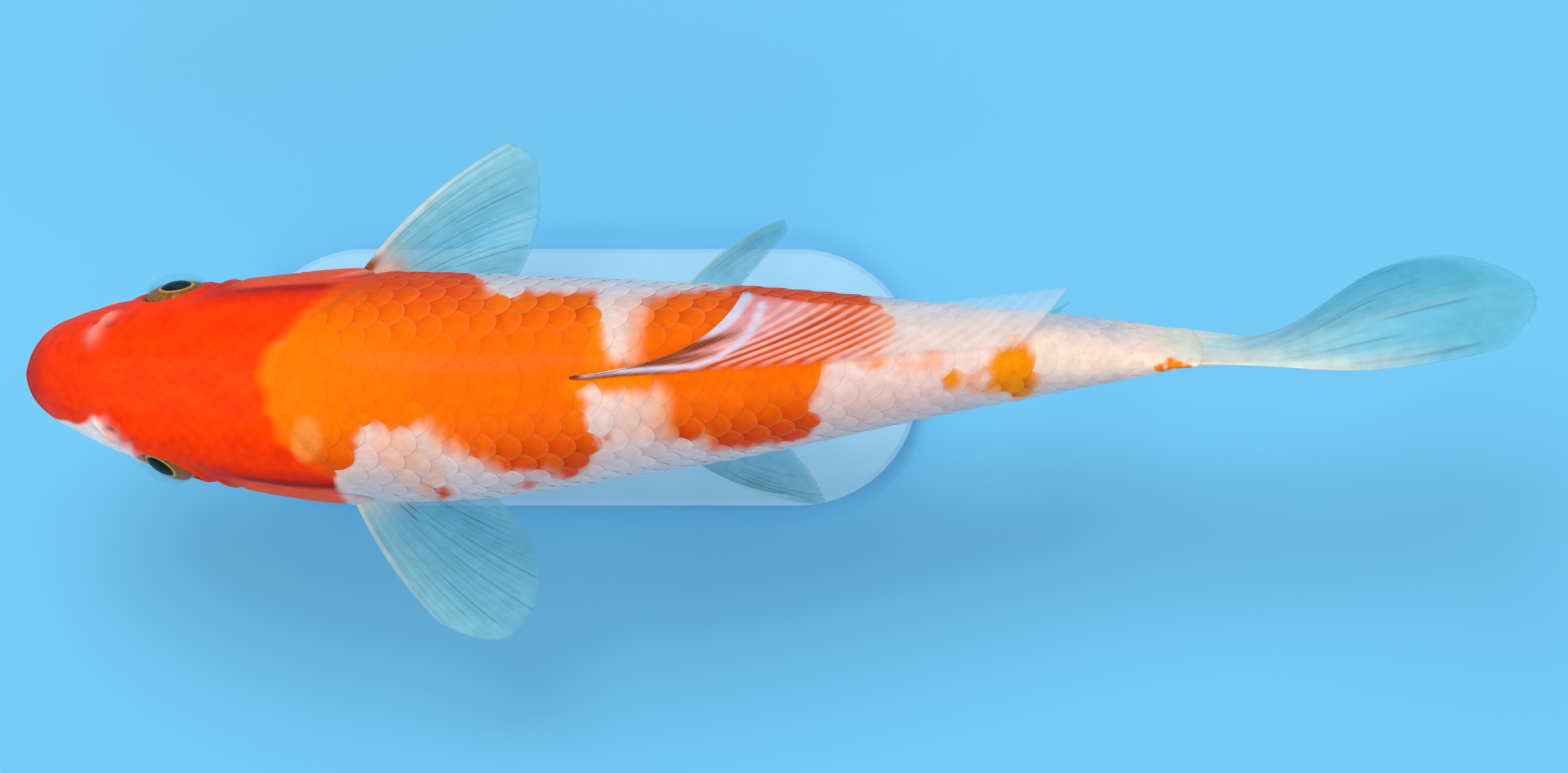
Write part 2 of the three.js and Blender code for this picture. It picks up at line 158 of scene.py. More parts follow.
def spline(rows, along):
    """A smooth curve through the rows. Along runs from 0 at the first to 1 at the last."""
    rows = np.asarray(rows, float)
    last = len(rows) - 1
    place = np.clip(along, 0, 1) * last
    start = np.minimum(place.astype(int), last - 1)
    t = (place - start)[..., None]
    padded = np.vstack([2 * rows[0] - rows[1], rows, 2 * rows[-1] - rows[-2]])
    before, here, there, after = (padded[start + step] for step in range(4))
    leave, arrive = (there - before) / 2, (after - here) / 2
    bend = 3 * (there - here) - 2 * leave - arrive
    return here + leave * t + bend * t**2 + (2 * (here - there) + leave + arrive) * t**3


ALONGS = np.linspace(0, 1, 8001)
ALONG_STATIONS = spline(BODY_STATIONS, ALONGS)[:, 0]


def body_rows(station):
    along = np.interp(station, ALONG_STATIONS, ALONGS)
    return np.moveaxis(spline(BODY_STATIONS, along), -1, 0)


def squareness(station):
    return 2 / mix(HEAD_SQUARENESS, TRUNK_SQUARENESS, ramp(station, SQUARE_TO, ROUND_FROM))


def body_surface(station, turn):
    station, turn = np.broadcast_arrays(np.asarray(station, float), turn)
    station, aside, height, wide, rise, fall = body_rows(station)
    power = squareness(station)
    across, upward = np.sin(2 * np.pi * turn), np.cos(2 * np.pi * turn)
    y = np.sign(across) * wide * np.abs(across) ** power
    z = np.sign(upward) * np.where(upward > 0, rise, fall) * np.abs(upward) ** power
    lean = STALK_LEAN * ramp(station, LEAN_FROM, LEAN_TO)
    return np.stack([
        SNOUT_X + station,
        aside + y * np.cos(lean) - z * np.sin(lean),
        AXIS_HEIGHT + height + y * np.sin(lean) + z * np.cos(lean),
    ], -1)


def hump(distance, width):
    return np.exp(-((distance / width) ** 2))


def unit(vectors):
    return vectors / np.maximum(np.linalg.norm(vectors, axis=-1, keepdims=True), 1e-9)


whole = body_surface(np.arange(1, BODY_LENGTH)[:, None], np.arange(40) / 40)
print("body, mm:", np.ptp(whole, (0, 1)).round(1))

# %% [markdown]
# ## Even steps round the body
#
# Skin and scales both need even spacing, and equal turns don't give that on a squarish
# section. So a table measures the way round each section, from the back at 0 to the belly at
# 1, or at -1 down the left side. That share is the second coordinate from here on.

# %% Shares of the half girth
TABLE_STATIONS = np.arange(0.5, BODY_LENGTH, 1)
TABLE_TURNS = np.linspace(0, 0.5, 241)
TABLE_SHARES = np.linspace(0, 1, 201)

rings = body_surface(TABLE_STATIONS[:, None], TABLE_TURNS)
steps = np.linalg.norm(np.diff(rings, axis=1), axis=-1)
way_round = np.hstack([np.zeros((len(steps), 1)), np.cumsum(steps, 1)])
HALF_GIRTHS = way_round[:, -1]
SHARE_TABLE = way_round / HALF_GIRTHS[:, None]
TURN_TABLE = np.array([np.interp(TABLE_SHARES, row, TABLE_TURNS) for row in SHARE_TABLE])


def look_up(table, station, across):
    """Reads a table between its entries. Across runs from 0 to 1 over its columns."""
    row = np.clip(station - TABLE_STATIONS[0], 0, len(TABLE_STATIONS) - 1.001)
    column = np.clip(across, 0, 1) * (table.shape[1] - 1.001)
    i, j = row.astype(int), column.astype(int)
    a, b = row - i, column - j
    near = table[i, j] * (1 - b) + table[i, j + 1] * b
    far = table[i + 1, j] * (1 - b) + table[i + 1, j + 1] * b
    return near * (1 - a) + far * a


def turn_at(station, share):
    return np.sign(share) * look_up(TURN_TABLE, station, np.abs(share))


def half_girth(station):
    return np.interp(station, TABLE_STATIONS, HALF_GIRTHS)


def skin_point(station, share, lift=0.0):
    """A point on the body, lifted off it by so many millimetres."""
    station, share = np.broadcast_arrays(np.asarray(station, float), np.asarray(share, float))
    small = 0.05
    shift = small / half_girth(station)
    here = body_surface(station, turn_at(station, share))
    back = body_surface(station + small, turn_at(station + small, share))
    beside = body_surface(station, turn_at(station, share) + shift * 0.5)
    outward = unit(np.cross(back - here, beside - here))
    return here + outward * np.asarray(lift)[..., None], outward


def share_at_height(station, height):
    """How far round the right side a height over the axis lies."""
    _, _, middle, _, rise, fall = body_rows(station)
    part = (height - middle) / np.maximum(np.where(height > middle, rise, fall), 1e-6)
    upward = np.sign(part) * np.abs(np.clip(part, -1, 1)) ** (1 / squareness(station))
    return look_up(SHARE_TABLE, station, np.arccos(upward) / np.pi)


def flank(station, share):
    """0 at the back, 1 at the widest of the side and 2 at the belly; minus on the left."""
    across = np.abs(np.sin(2 * np.pi * turn_at(station, share))) ** squareness(station)
    below = np.abs(turn_at(station, share)) > 0.25
    return np.sign(share) * np.where(below, 2 - across, across)


print("half girth at the shoulder:", round(float(half_girth(100.0)), 1), "mm")

# %% [markdown]
# ## Markings
#
# A koi's orange plates lie in the skin under the scales. Behind, a plate ends crisply, because
# each coloured scale shows its whole round rim. In front it fades, because white scales cover
# its edge. So each plate is one outline of stations and flank values, and the softness of its
# edge follows from whether the edge looks forward or back. Skin and scales both ask this one
# function for their colour, so the markings run through.

# %% Outlines of the plates
HOOD_AND_FIRST_PLATE = [
    (-6, 2.1), (4.0, 2.1), (4.4, 1.75), (8, 1.45), (13, 1.3), (22, 1.3), (34, 1.38), (48, 1.42),
    (60, 1.4), (70, 1.3), (77, 1.2), (79.5, 1.1), (86, 1.2), (96, 1.18), (103, 1.02), (105.5, 0.9),
    (108, 0.79),
    (112, 0.77), (115.5, 0.85), (124, 0.84), (132.5, 0.86), (133, 0.5), (133.5, 0.3), (133.5, 0.1),
    (127.5, -0.07), (130, -0.23), (128, -0.36), (130, -0.52), (132, -0.67), (130.5, -0.82),
    (128, -0.91), (123, -0.89), (118.5, -0.79), (109, -0.75), (103, -0.63), (97, -0.52),
    (93.5, -0.42), (91, -0.31), (87.5, -0.375), (84.5, -0.45), (81, -0.35), (77.5, -0.35),
    (75.5, -0.45), (77, -0.59), (74.5, -0.68), (71.7, -0.81), (73.5, -0.95), (77.5, -1.05),
    (77, -1.2), (70, -1.35), (60, -1.42), (48, -1.42), (40, -1.3), (34, -1.15), (29, -1.0),
    (26.5, -0.93), (22, -0.85), (18.5, -0.7), (16.3, -0.55), (14, -0.72), (11, -0.85), (8, -0.93),
    (5, -1.1), (4.1, -1.5), (4.0, -2.1), (-6, -2.1),
]
SECOND_PLATE = [
    (148, 0.86), (143, 0.76), (141, 0.6), (139.6, 0.34), (140, 0.1), (141, -0.05),
    (146, -0.2), (147, -0.3), (146.5, -0.5), (148, -0.65), (152, -0.7), (156, -0.71),
    (158.5, -0.85), (163, -0.87), (167, -0.88), (172, -0.89), (177, -0.93), (181, -0.89),
    (184.7, -0.76), (181, -0.59), (183.6, -0.4), (184, -0.17), (187, 0.07), (192, 0.16),
    (201.5, 0.31), (200.5, 0.6), (197.4, 0.86), (195, 1.02), (188, 1.1), (176, 1.1), (166, 1.03),
    (160, 0.93), (153, 0.9),
]
SADDLE = [(126, 0.12), (150, 0.15), (150, -0.12), (128, -0.07)]
TAIL_PLATE = [
    (221.4, -0.29), (222.7, -0.11), (226.4, 0.24), (227, 0.38), (229, 0.44), (229.5, 0.14),
    (231.6, 0.14), (233.2, -0.18), (234, -0.64), (232.2, -0.92), (228.5, -1.0), (226.9, -0.82),
    (222, -0.67), (223.3, -0.44),
]
PLATES = [HOOD_AND_FIRST_PLATE, SADDLE, SECOND_PLATE, TAIL_PLATE]
# Round marks: station, flank and radius in millimetres.
SPOTS = [
    (214.3, -0.36, 2.2), (134.3, -0.58, 1.3), (94, -0.88, 1.1), (96.5, -0.94, 1.5),
    (116, -0.92, 1.2), (196.8, -0.04, 1.0), (203, 0.05, 0.6), (208.5, -0.1, 0.8), (210.6, -0.18, 0.7),
    (263, -0.22, 1.2), (265, -0.08, 1.3), (267, -0.08, 1.3), (269.3, -0.12, 1.0),
]
WHITE_BACK, SHADED_WHITE_FLANK, WHITE_BELLY = (0.87, 0.645, 0.595), (0.6, 0.6, 0.65), (0.93, 0.86, 0.8)
WHITE_STALK, WHITE_END = (0.93, 0.7, 0.58), (0.84, 0.76, 0.62)
CHEEK, HALO, LEFT_SHADE_ROSE = (0.96, 0.87, 0.86), (0.95, 0.52, 0.36), (0.9, 0.5, 0.42)
ORANGE, SHADED_ORANGE_FLANK = (1.0, 0.14, 0), (0.82, 0.045, 0.001)
ORANGE_EDGE, ORANGE_TAIL = (1.0, 0.26, 0), (1.0, 0.3, 0)
HEAD_RED, CROWN, CRIMSON = (1.0, 0.04, 0), (1.0, 0.075, 0), (0.6, 0.008, 0.001)
CORAL, GILL_SHADOW = (1.0, 0.1, 0.02), (0.22, 0.004, 0.003)
PEACH, AMBER = (1.0, 0.38, 0.13), (1.0, 0.27, 0.045)
# Veils: station, flank, length, breadth in flank, strength, how crisp they are, and colour.
VEILS = [
    (64.6, -0.46, 3.7, 0.2, 0.85, 0.7, AMBER), (85, -0.53, 7, 0.2, 0.35, 0.4, PEACH),
    (91, -0.72, 8, 0.2, 0.3, 0.4, PEACH), (143, -0.4, 7, 0.3, 0.3, 0.4, PEACH),
    (139.5, 0.72, 5, 0.2, 0.25, 0.4, PEACH), (205, -0.1, 4, 0.16, 0.3, 0.6, AMBER),
    (210, 0.0, 3, 0.2, 0.4, 0.6, AMBER), (196, 0.02, 5, 0.14, 0.4, 0.6, AMBER),
    (219.5, -0.5, 2.6, 0.25, 0.5, 0.6, AMBER),
]
# Waves that add up to blotches: length in millimetres, heading in degrees, and phase.
BLOTCHES = [
    (11, 12, 0.4), (8.3, 81, 2.1), (6.4, 128, 4.4), (12.7, 100, 1.2), (3.1, 50, 5.3),
    (2.6, 150, 0.9),
]
# The fold at the top of the gill covers, seen from above as a dark line on this flank.
GILL_FOLD = 0.86
# Where the smooth head ends and the scales begin.
NAPE = [
    (0, 54), (0.25, 55), (0.5, 60), (0.7, 66), (0.9, 74), (1.0, 79), (1.1, 82.5), (1.25, 82),
    (1.4, 76), (1.6, 69), (2.0, 60),
]


def line_distance(x, y, corners):
    """How far points lie from a line of straight pieces."""
    nearest = np.full(x.shape, np.inf)
    for (x0, y0), (x1, y1) in zip(corners[:-1], corners[1:]):
        dx, dy = x1 - x0, y1 - y0
        share = np.clip(((x - x0) * dx + (y - y0) * dy) / max(dx * dx + dy * dy, 1e-12), 0, 1)
        nearest = np.minimum(nearest, np.hypot(x - x0 - share * dx, y - y0 - share * dy))
    return nearest


def outline_depth(x, y, outline):
    """How far points lie inside a closed outline; less than nothing outside it."""
    corners = np.vstack([outline, outline[:1]])
    inside = np.zeros(x.shape, bool)
    for (x0, y0), (x1, y1) in zip(corners[:-1], corners[1:]):
        if y0 != y1:
            inside ^= ((y0 > y) != (y1 > y)) & (x < x0 + (y - y0) * (x1 - x0) / (y1 - y0))
    nearest = line_distance(x, y, corners)
    return np.where(inside, nearest, -nearest)


def plate_depth(station, side):
    """Millimetres inside the nearest plate."""
    wobble = 0.3 * np.sin(0.9 * station + 5 * side) + 0.24 * np.sin(1.7 * station - 9 * side)
    depth = np.full(station.shape, -99.0)
    for outline in PLATES:
        corners = np.array(outline, float)
        breadth = body_rows(corners[:, 0].mean())[3]
        corners[:, 1] *= breadth
        depth = np.maximum(depth, outline_depth(station, side * breadth, corners))
    for middle, across, radius in SPOTS:
        breadth = body_rows(float(middle))[3]
        depth = np.maximum(depth, radius - np.hypot(station - middle, (side - across) * breadth))
    return depth + wobble


def blend(first, last, share):
    return mix(np.asarray(first), np.asarray(last), np.asarray(share)[..., None])
def layered(color, *layers):
    """Lays tones over a colour, one after another, each with its own strength."""
    for tone, strength in layers:
        color = blend(color, tone, strength)
    return color

def drawn_station(station, side):
    """The station on the drawing, which lies at the axis's height, that the camera sees here."""
    _, _, middle, _, rise, _ = body_rows(station)
    above = middle + rise * np.sqrt(np.clip(1 - side**2, 0, 1))
    aside = station + SNOUT_X - VIEW_MIDDLE[0] / MM
    return station + aside * above / (CAMERA_ABOVE / MM - above)


def cloudy(along, across):
    """Soft irregular blotches from -1 to 1, a few millimetres across."""
    total = np.zeros(np.broadcast(along, across).shape)
    for size, heading, phase in BLOTCHES:
        turn = np.radians(heading)
        way = along * np.cos(turn) + across * np.sin(turn)
        swirl = 2.6 * np.sin(0.7 * (along - across) / size + phase)
        total = total + np.sin(2 * np.pi * way / size + phase + swirl)
    return total / 3


def behind_nape(station, side):
    """How far behind the line where the smooth head ends."""
    across, where = np.transpose(NAPE)
    return drawn_station(station, side) - np.interp(np.abs(side), across, where)


def markings_and_shade(station, side, scale_station=None, scale_side=None):
    """The colour of the coat, with painted shade down the flanks and round the head. A scale also
    gives the middle of what shows of it.
    """
    brow = behind_nape(station, side) + 0.9 * np.sin(9 * side) + 0.5 * np.sin(23 * side)
    station = drawn_station(station, side)
    depth = plate_depth(station, side)
    reach = 3
    behind, ahead = (plate_depth(station + step, side) for step in (reach, -reach))
    fading = ramp((behind - ahead) / (2 * reach), 0.15, 0.75)
    if scale_station is not None:
        center = drawn_station(scale_station, scale_side)
        depth = mix(plate_depth(center, scale_side), depth, mix(0.6, 1, fading))
    around = np.abs(side)
    soft = mix(0.9, 4.2, fading)
    soft = mix(soft, np.minimum(soft, 1.2), ramp(station, 200, 212))
    soft = mix(soft, 2.4, ramp(around, 1.15, 1.35))
    soft = mix(soft, 0.4, ramp(station, 252, 258))
    stalk = ramp(station, 205, 240) * np.maximum(ramp(around, 1.0, 0.3), ramp(station, 245, 262))
    # Painted shade: the left flank's white is tinted rose and darker, most strongly near station 200.
    rosy = 0.22 + 0.33 * ramp(np.abs(station - 200), 22, 6)
    on_top = ramp(around, 1.1, 0.8)
    white = layered(
        WHITE_BACK,
        # Painted shade: down the flanks the white turns a darker grey-blue, for the shade and the
        # floor's blue on the sides.
        (SHADED_WHITE_FLANK, ramp(around, 0.5, 1.05)),
        (WHITE_STALK, stalk),
        (LEFT_SHADE_ROSE, rosy * ramp(side, 0, -0.4) * on_top * (1 - stalk)),
        (WHITE_BELLY, ramp(around, 1.15, 1.6)),
        (CHEEK, ramp(station, 42, 30)),
        (HALO, 0.3 * ramp(depth, -4, -0.5) * on_top * (1 - fading)),
        (WHITE_END, ramp(station, 258, 270)),
    )
    # Painted shade: the orange darkens down the flanks, from nearer the back on the left side.
    flank_shade = np.where(side < 0, ramp(side, -0.2, -0.95), ramp(side, 0.5, 1.05))
    rear_band = ramp(depth, 5, 0.5) * (1 - fading) * ramp(side, -0.5, 0) * ramp(side, 1, 0.5)
    orange = layered(
        ORANGE,
        (SHADED_ORANGE_FLANK, flank_shade * 0.9),
        (ORANGE_EDGE, np.maximum(rear_band * 0.75, 0.8 * fading * ramp(depth, 5, 0))),
        (ORANGE_EDGE, 0.4 * ramp(station, 96, 62) * ramp(around, 0.9, 0.2)),
        (ORANGE_TAIL, 0.85 * ramp(station, 205, 215) * ramp(station, 256, 250)),
    )
    # Painted shade: the tip of the snout and the sides of the head are painted a darker crimson.
    rim = ramp(station, 6, 1) + ramp(around, 0.7, 0.86) * ramp(station, 36, 46)
    blotch = cloudy(station, 30 * side)
    crown = 0.55 * ramp(around, 0.8, 0.1) * ramp(blotch, -0.9, 1.2) * ramp(station, 8, 22)
    by_gills = ramp(station, 44, 54) * ramp(station, 84, 76)
    band = ramp(around, GILL_FOLD, GILL_FOLD + 0.05) * ramp(around, 1.12, 1.0)
    red = layered(
        HEAD_RED,
        (CROWN, crown),
        (CRIMSON, 0.18 * ramp(blotch, 0.1, -0.9) * ramp(around, 0.2, 0.6)),
        (CRIMSON, np.clip(rim, 0, 1) * 0.75),
        (CORAL, 0.85 * by_gills * band),
        (GILL_SHADOW, np.where(side > 0, 0.5, 0.75) * by_gills * hump(around - GILL_FOLD, 0.03)),
    )
    coat = blend(orange, red, ramp(brow, 2.2, -2.2))
    color = blend(white, coat, ramp(depth, -soft, soft))
    for middle, across, length, breadth, strength, crisp, tone in VEILS:
        far = np.hypot((station - middle) / length, (side - across) / breadth)
        color = blend(color, tone, strength * ramp(far, 1.2, crisp))
    return color


print("plates:", len(PLATES), "spots:", len(SPOTS))

# %% [markdown]
# ## Meshes from arrays
#
# Each piece is worked out as rows of points, which is quick and gives full control. The helper
# below turns such rows into a Blender mesh, with its colour stored on its points and its map
# for baking. Points are in millimetres until this step.

# %% A mesh from points and faces
def make_piece(name, points, groups, material, values, maps=None):
    """A piece from points, arrays of faces, values kept on the points, and a map."""
    faces = [face for group in groups for face in group.tolist()]
    mesh = bpy.data.meshes.new(name)
    mesh.from_pydata((np.asarray(points) * MM).tolist(), [], faces)
    mesh.polygons.foreach_set("use_smooth", np.ones(len(mesh.polygons), bool))
    for key, rows in values.items():
        rows = np.asarray(rows, np.float32)
        kind, field = ("FLOAT", "value") if rows.ndim == 1 else ("FLOAT_COLOR", "color")
        if rows.ndim == 2:
            rows = np.hstack([rows, np.ones((len(rows), 1), np.float32)])
        layer = mesh.attributes.new(key, kind, "POINT")
        layer.data.foreach_set(field, rows.ravel())
    if maps is not None:
        layer = mesh.uv_layers.new(name="OFBake")
        layer.data.foreach_set("uv", np.asarray(maps, np.float32).ravel())
    mesh.materials.append(material)
    made = bpy.data.objects.new(name, mesh)
    bpy.context.collection.objects.link(made)
    print(f"{name}: {sum(len(face) - 2 for face in faces)} triangles")
    return made


# %% Faces of grids and tubes
def grid_faces(rows, columns, start=0):
    i, j = np.mgrid[0:rows - 1, 0:columns - 1]
    corner = start + i * columns + j
    above = corner + columns
    return np.stack([corner, corner + 1, above + 1, above], -1).reshape(-1, 4)


def tube_corners(rings, spokes, first=0):
    """The ring and the spoke of each corner of the faces between the rings of a tube."""
    i, j = (part.reshape(-1, 1) for part in np.mgrid[0:rings - 1, 0:spokes])
    return i + np.roll([0, 1, 1, 0], -first), j + np.roll([0, 0, 1, 1], -first)


def tube_faces(rings, spokes, first=0):
    ring, spoke = tube_corners(rings, spokes, first)
    return ring * spokes + spoke % spokes


def tube_caps(rings, spokes):
    """Fans of faces that close a tube. Their two tips are the points after its last ring."""
    tip, last = rings * spokes, (rings - 1) * spokes
    around = np.arange(spokes)
    ahead = (around + 1) % spokes
    front = np.stack([0 * around + tip, around, ahead], -1)
    return np.vstack([front, np.stack([0 * around + tip + 1, last + ahead, last + around], -1)])


print("a cube's sides:", len(tube_faces(2, 4)))

# %% [markdown]
# ## Node helpers
#
# Materials here are made of nodes, so a short helper that adds one node and fills its sockets
# keeps each recipe readable. No real surface is even, so one more helper makes a whole finish
# whose colour, roughness and relief all waver with noises of their own.


# %% Node helper
def new_material(name):
    material = bpy.data.materials.new(name)
    material.use_nodes = True
    print("finish:", name)
    return material, material.node_tree.nodes["Principled BSDF"]


def node(material, kind, inputs, **settings):
    made = material.node_tree.nodes.new("ShaderNode" + kind)
    for key, value in settings.items():
        setattr(made, key, value)
    wire(material, made, inputs)
    return made


def wire(material, target, inputs):
    for key, value in inputs.items():
        if isinstance(value, bpy.types.NodeSocket):
            material.node_tree.links.new(value, target.inputs[key])
        else:
            target.inputs[key].default_value = value


def object_place(material):
    return node(material, "TexCoord", {}).outputs["Object"]


def noise(material, scale, detail, where=None):
    inputs = {"Vector": where or object_place(material), "Scale": scale, "Detail": detail}
    return node(material, "TexNoise", inputs).outputs["Fac"]


def stretch(material, value, low, high, start=0.3, end=0.7):
    """Stretches a value over a range. A noise lies mostly between 0.3 and 0.7."""
    inputs = {"Value": value, "From Min": start, "From Max": end, "To Min": low, "To Max": high}
    return node(material, "MapRange", inputs).outputs["Result"]


def wavering(material, scale, detail, low, high):
    return stretch(material, noise(material, scale, detail), low, high)


def times(material, first, second, clamp=False):
    made = node(material, "Math", {0: first, 1: second}, operation="MULTIPLY", use_clamp=clamp)
    return made.outputs["Value"]


def scaled_color(material, color, factor):
    made = node(material, "VectorMath", {0: color, "Scale": factor}, operation="SCALE")
    return made.outputs["Vector"]


def attribute(material, name, output="Color"):
    return node(material, "Attribute", {}, attribute_name=name).outputs[output]


def bump(material, height, strength, distance):
    inputs = {"Height": height, "Strength": strength, "Distance": distance * MM}
    return node(material, "Bump", inputs).outputs["Normal"]


def finish(name, shades, roughness, grain, sockets, color=None):
    """A finish. Shades and roughness are noises: scale, detail, lowest and highest value.
    Grain is a noise that gives relief: scale, detail, strength and depth in millimetres."""
    material, surface = new_material(name)
    shade = wavering(material, *shades[0])
    for row in shades[1:]:
        shade = times(material, shade, wavering(material, *row))
    wire(material, surface, {
        "Base Color": scaled_color(material, color or attribute(material, "tint"), shade),
        "Roughness": wavering(material, *roughness),
        "Normal": bump(material, noise(material, *grain[:2]), *grain[2:]),
        **sockets,
    })
    return material


# %% [markdown]
# ## Wet skin
#
# Living fish skin is a clear slime over pigment. Light enters it a little way, so it glows
# slightly. In air the slime gives it a sharp gloss, and under water nearly all of that is gone.
# The recipe is the pigment from the markings, broken up by a fine mottle, with a faint gloss
# and a very thin clear coat. Its relief is a fine grain, which breaks the highlights up.


# %% Skin materials
def wet_skin(name, grain_depth, coat):
    return finish(
        name, shades=[(420, 5, 0.9, 1.06), (70, 3, 0.94, 1.05)], roughness=(500, 3, 0.4, 0.56),
        grain=(1500, 3, 0.35, grain_depth), sockets={
            "Specular IOR Level": 0.02,
            "Coat Weight": coat,
            "Coat Roughness": 0.12,
            "Subsurface Weight": 0.1,
            "Subsurface Radius": (0.004, 0.0015, 0.0008),
            "Subsurface Scale": 0.6,
        })


skin_finish = wet_skin("wet skin", grain_depth=0.12, coat=0.045)
scale_finish = wet_skin("wet scales", grain_depth=0.08, coat=0.02)

# %% [markdown]
# ## Skin
#
# One closed skin stands for all the flesh. It is drawn as rings from the snout to the root of
# the tail fin, closest together on the head. Under the scales it lies half a millimetre in.
# On the head nothing covers it, so its folds are modelled here: lips, nostrils, the rims
# of the eyes and the plates of the gill covers. Each fold is a line or an outline drawn on the
# side of the head, which pushes the skin out or in near it.

# %% Folds of the head
# Lines and outlines on the side of the head: station, and height over the axis.
MOUTH = [
    (0.23, -10.3), (0.4, -10.3), (0.9, -10.3), (2, -10.4), (4, -10.6), (8, -11.6), (11, -13.4),
    (12.6, -15.6),
]
LIP_OUTER = [
    (0.31, -6.6), (0.6, -6.6), (1.4, -6.6), (4, -7), (8, -8.6), (12, -11.2), (14.8, -14.8),
]
JAW_CREASE = [(2.2, -14.4), (6, -15.3), (10, -16.6), (14, -18)]
CHEEK_FOLD = [(14.8, -14.8), (17, -10.5), (17, -5), (15, 0)]
EYE_BAG = [(23, 3), (24, -3.5), (30, -7.5), (37, -7.5), (43, -3), (45.5, 3)]
BROW = [(14, 13.5), (22, 14.6), (31, 16), (40, 17.8), (50, 20), (58, 21)]
GILL_PLATE = [
    (51, 13), (49.5, 4), (51, -6), (54, -14), (58.5, -20.5), (64.5, -24), (70.5, -21), (75, -13),
    (78, -4), (78.3, 2), (76.6, 9), (72, 13.8), (64.5, 16.3), (56.5, 16),
]
GILL_MIDDLE = (63, -3)
FORE_PLATE = [(48, 12), (49.5, 4), (50, -6), (48.5, -14), (43, -20), (34, -22)]
FORE_RIDGE = [(46, 10), (47.3, 3), (47.6, -6), (46, -13), (41, -18), (33, -20)]
GILL_RAYS = [
    [(40, -23.2), (52, -25.4), (64, -26.4), (72, -23)],
    [(42, -25), (54, -27), (66, -28), (74, -24)],
]
NOSTRIL_FLAP = [(17, 12.1), (18.8, 11.3), (20.6, 10.1)]
NOSTRIL_FRONT, NOSTRIL_REAR = (17.2, 9.6), (20.8, 12.6)
# The two holes of a nostril: where each is, how wide and how deep.
NOSTRILS = [(NOSTRIL_FRONT, 0.8, 1.0), (NOSTRIL_REAR, 1.1, 1.7)]
FLAP_PALLOR = {LEFT: 0.06, RIGHT: 0.75}
EYE_AT = {LEFT: (33.8, 5.5), RIGHT: (34.6, 5.5)}
EYE_OPENING = 7.3
LATERAL_LINE = [(80, 8), (95, 4.5), (125, 1), (165, -0.5), (215, 0.5), (264, 0.8)]
# Folds: a line or a spot, how deep they are (below nothing where they stand out), and width.
FOLDS = [
    (LIP_OUTER, 0.4, 0.7), (JAW_CREASE, 0.35, 0.8), (CHEEK_FOLD, 0.3, 1.1), (EYE_BAG, 0.28, 1.4),
    (FORE_PLATE, 0.4, 0.9), (GILL_RAYS[0], 0.35, 0.7), (GILL_RAYS[1], 0.35, 0.7),
    (FORE_RIDGE, -0.3, 1.5), (BROW, -0.4, 2.6), (NOSTRIL_FLAP, -0.55, 1.2),
    (NOSTRIL_FLAP[1], -0.3, 3.2), (NOSTRIL_FLAP[0], -0.4, 1.9),
]


def side_curve(points, count=60):
    return spline(np.array(points, float), np.linspace(0, 1, count))


def from_line(spots, points, side):
    """The distance of each spot on the skin from a line, or one spot, on one side of it."""
    points = points if isinstance(points, list) else [points, points]
    station, height = side_curve(points).T
    share = side * share_at_height(station, height)
    curve = body_surface(station, turn_at(station, share))
    away = np.full(len(spots), np.inf)
    for corner in curve:
        away = np.minimum(away, ((spots - corner) ** 2).sum(-1))
    return np.sqrt(away)


def gill_edge(station, height):
    """Depth inside the gill cover, and how much a spot lies to its free rear edge."""
    depth = outline_depth(station, height, side_curve(GILL_PLATE + GILL_PLATE[:1])[:-1])
    angle = np.arctan2(height - GILL_MIDDLE[1], station - GILL_MIDDLE[0])
    return depth, ramp(np.cos(angle + 0.45), -0.15, 0.45)


def from_eye(station, height, side):
    """The distance from the edge of the eye's opening."""
    return np.hypot(station - EYE_AT[side][0], height - EYE_AT[side][1]) - EYE_OPENING


def head_folds(spots, station, height, side):
    """How far the skin on one side of the head stands out at each spot."""
    mouth = from_line(spots, MOUTH, side)
    upper = height > np.interp(station, *np.transpose(MOUTH))
    fold = hump(mouth - 1.7, 1.5) * np.where(upper, 0.75, 0.6) - 1.3 * hump(mouth, 0.55)
    for line, depth, width in FOLDS:
        fold -= depth * hump(from_line(spots, line, side), width)
    for hole, width, depth in NOSTRILS:
        fold -= depth * hump(from_line(spots, hole, side), width)
    depth, free = gill_edge(station, height)
    plate = 0.4 * ramp(depth, -0.3, 0.6) + 0.4 * ramp(depth, -2.1, -1.5)
    fold += free * (plate * np.exp(-np.maximum(depth, 0) / 13) - 0.75 * hump(depth + 2.8, 0.75))
    fold -= (1 - free) * 0.22 * hump(depth, 1.2)
    angle = np.arctan2(height - 10, station - 53)
    fold += 0.06 * np.sin(34 * angle) * ramp(depth, 1, 5) * ramp(station, 56, 64)
    eye = from_eye(station, height, side)
    fold += 0.5 * hump(eye - 1.2, 1.2) - 0.2 * hump(eye - 3.6, 0.8)
    return fold - 4.6 * ramp(eye, 0.3, -1.5)


print("folds:", len(FOLDS) + len(NOSTRILS))


# %% The skin
HEAD_RINGS, TRUNK_RINGS, STALK_RINGS, ROUND = 204, 92, 26, 290
HEAD_END, SCALES_END, LAST_RING = 87, 255, 272.6
SKIN_DEPTH, STALK_SHARE = 0.55, 0.18
SNOUT_PUSH = 1.0
VENT = 209
MOUTH_SHADE, PALE_FLAP, NOSTRIL_SHADE = (0.35, 0.02, 0.01), (1.0, 0.34, 0.24), (0.16, 0.008, 0.004)
EYE_CREASE_SHADE, SOCKET_SHADE = (0.3, 0.1, 0.01), (0.42, 0.06, 0.015)
GILL_RIM, GILL_GAP_SHADE, VENT_PINK = (1.0, 0.45, 0.38), (0.22, 0.01, 0.006), (0.9, 0.42, 0.36)

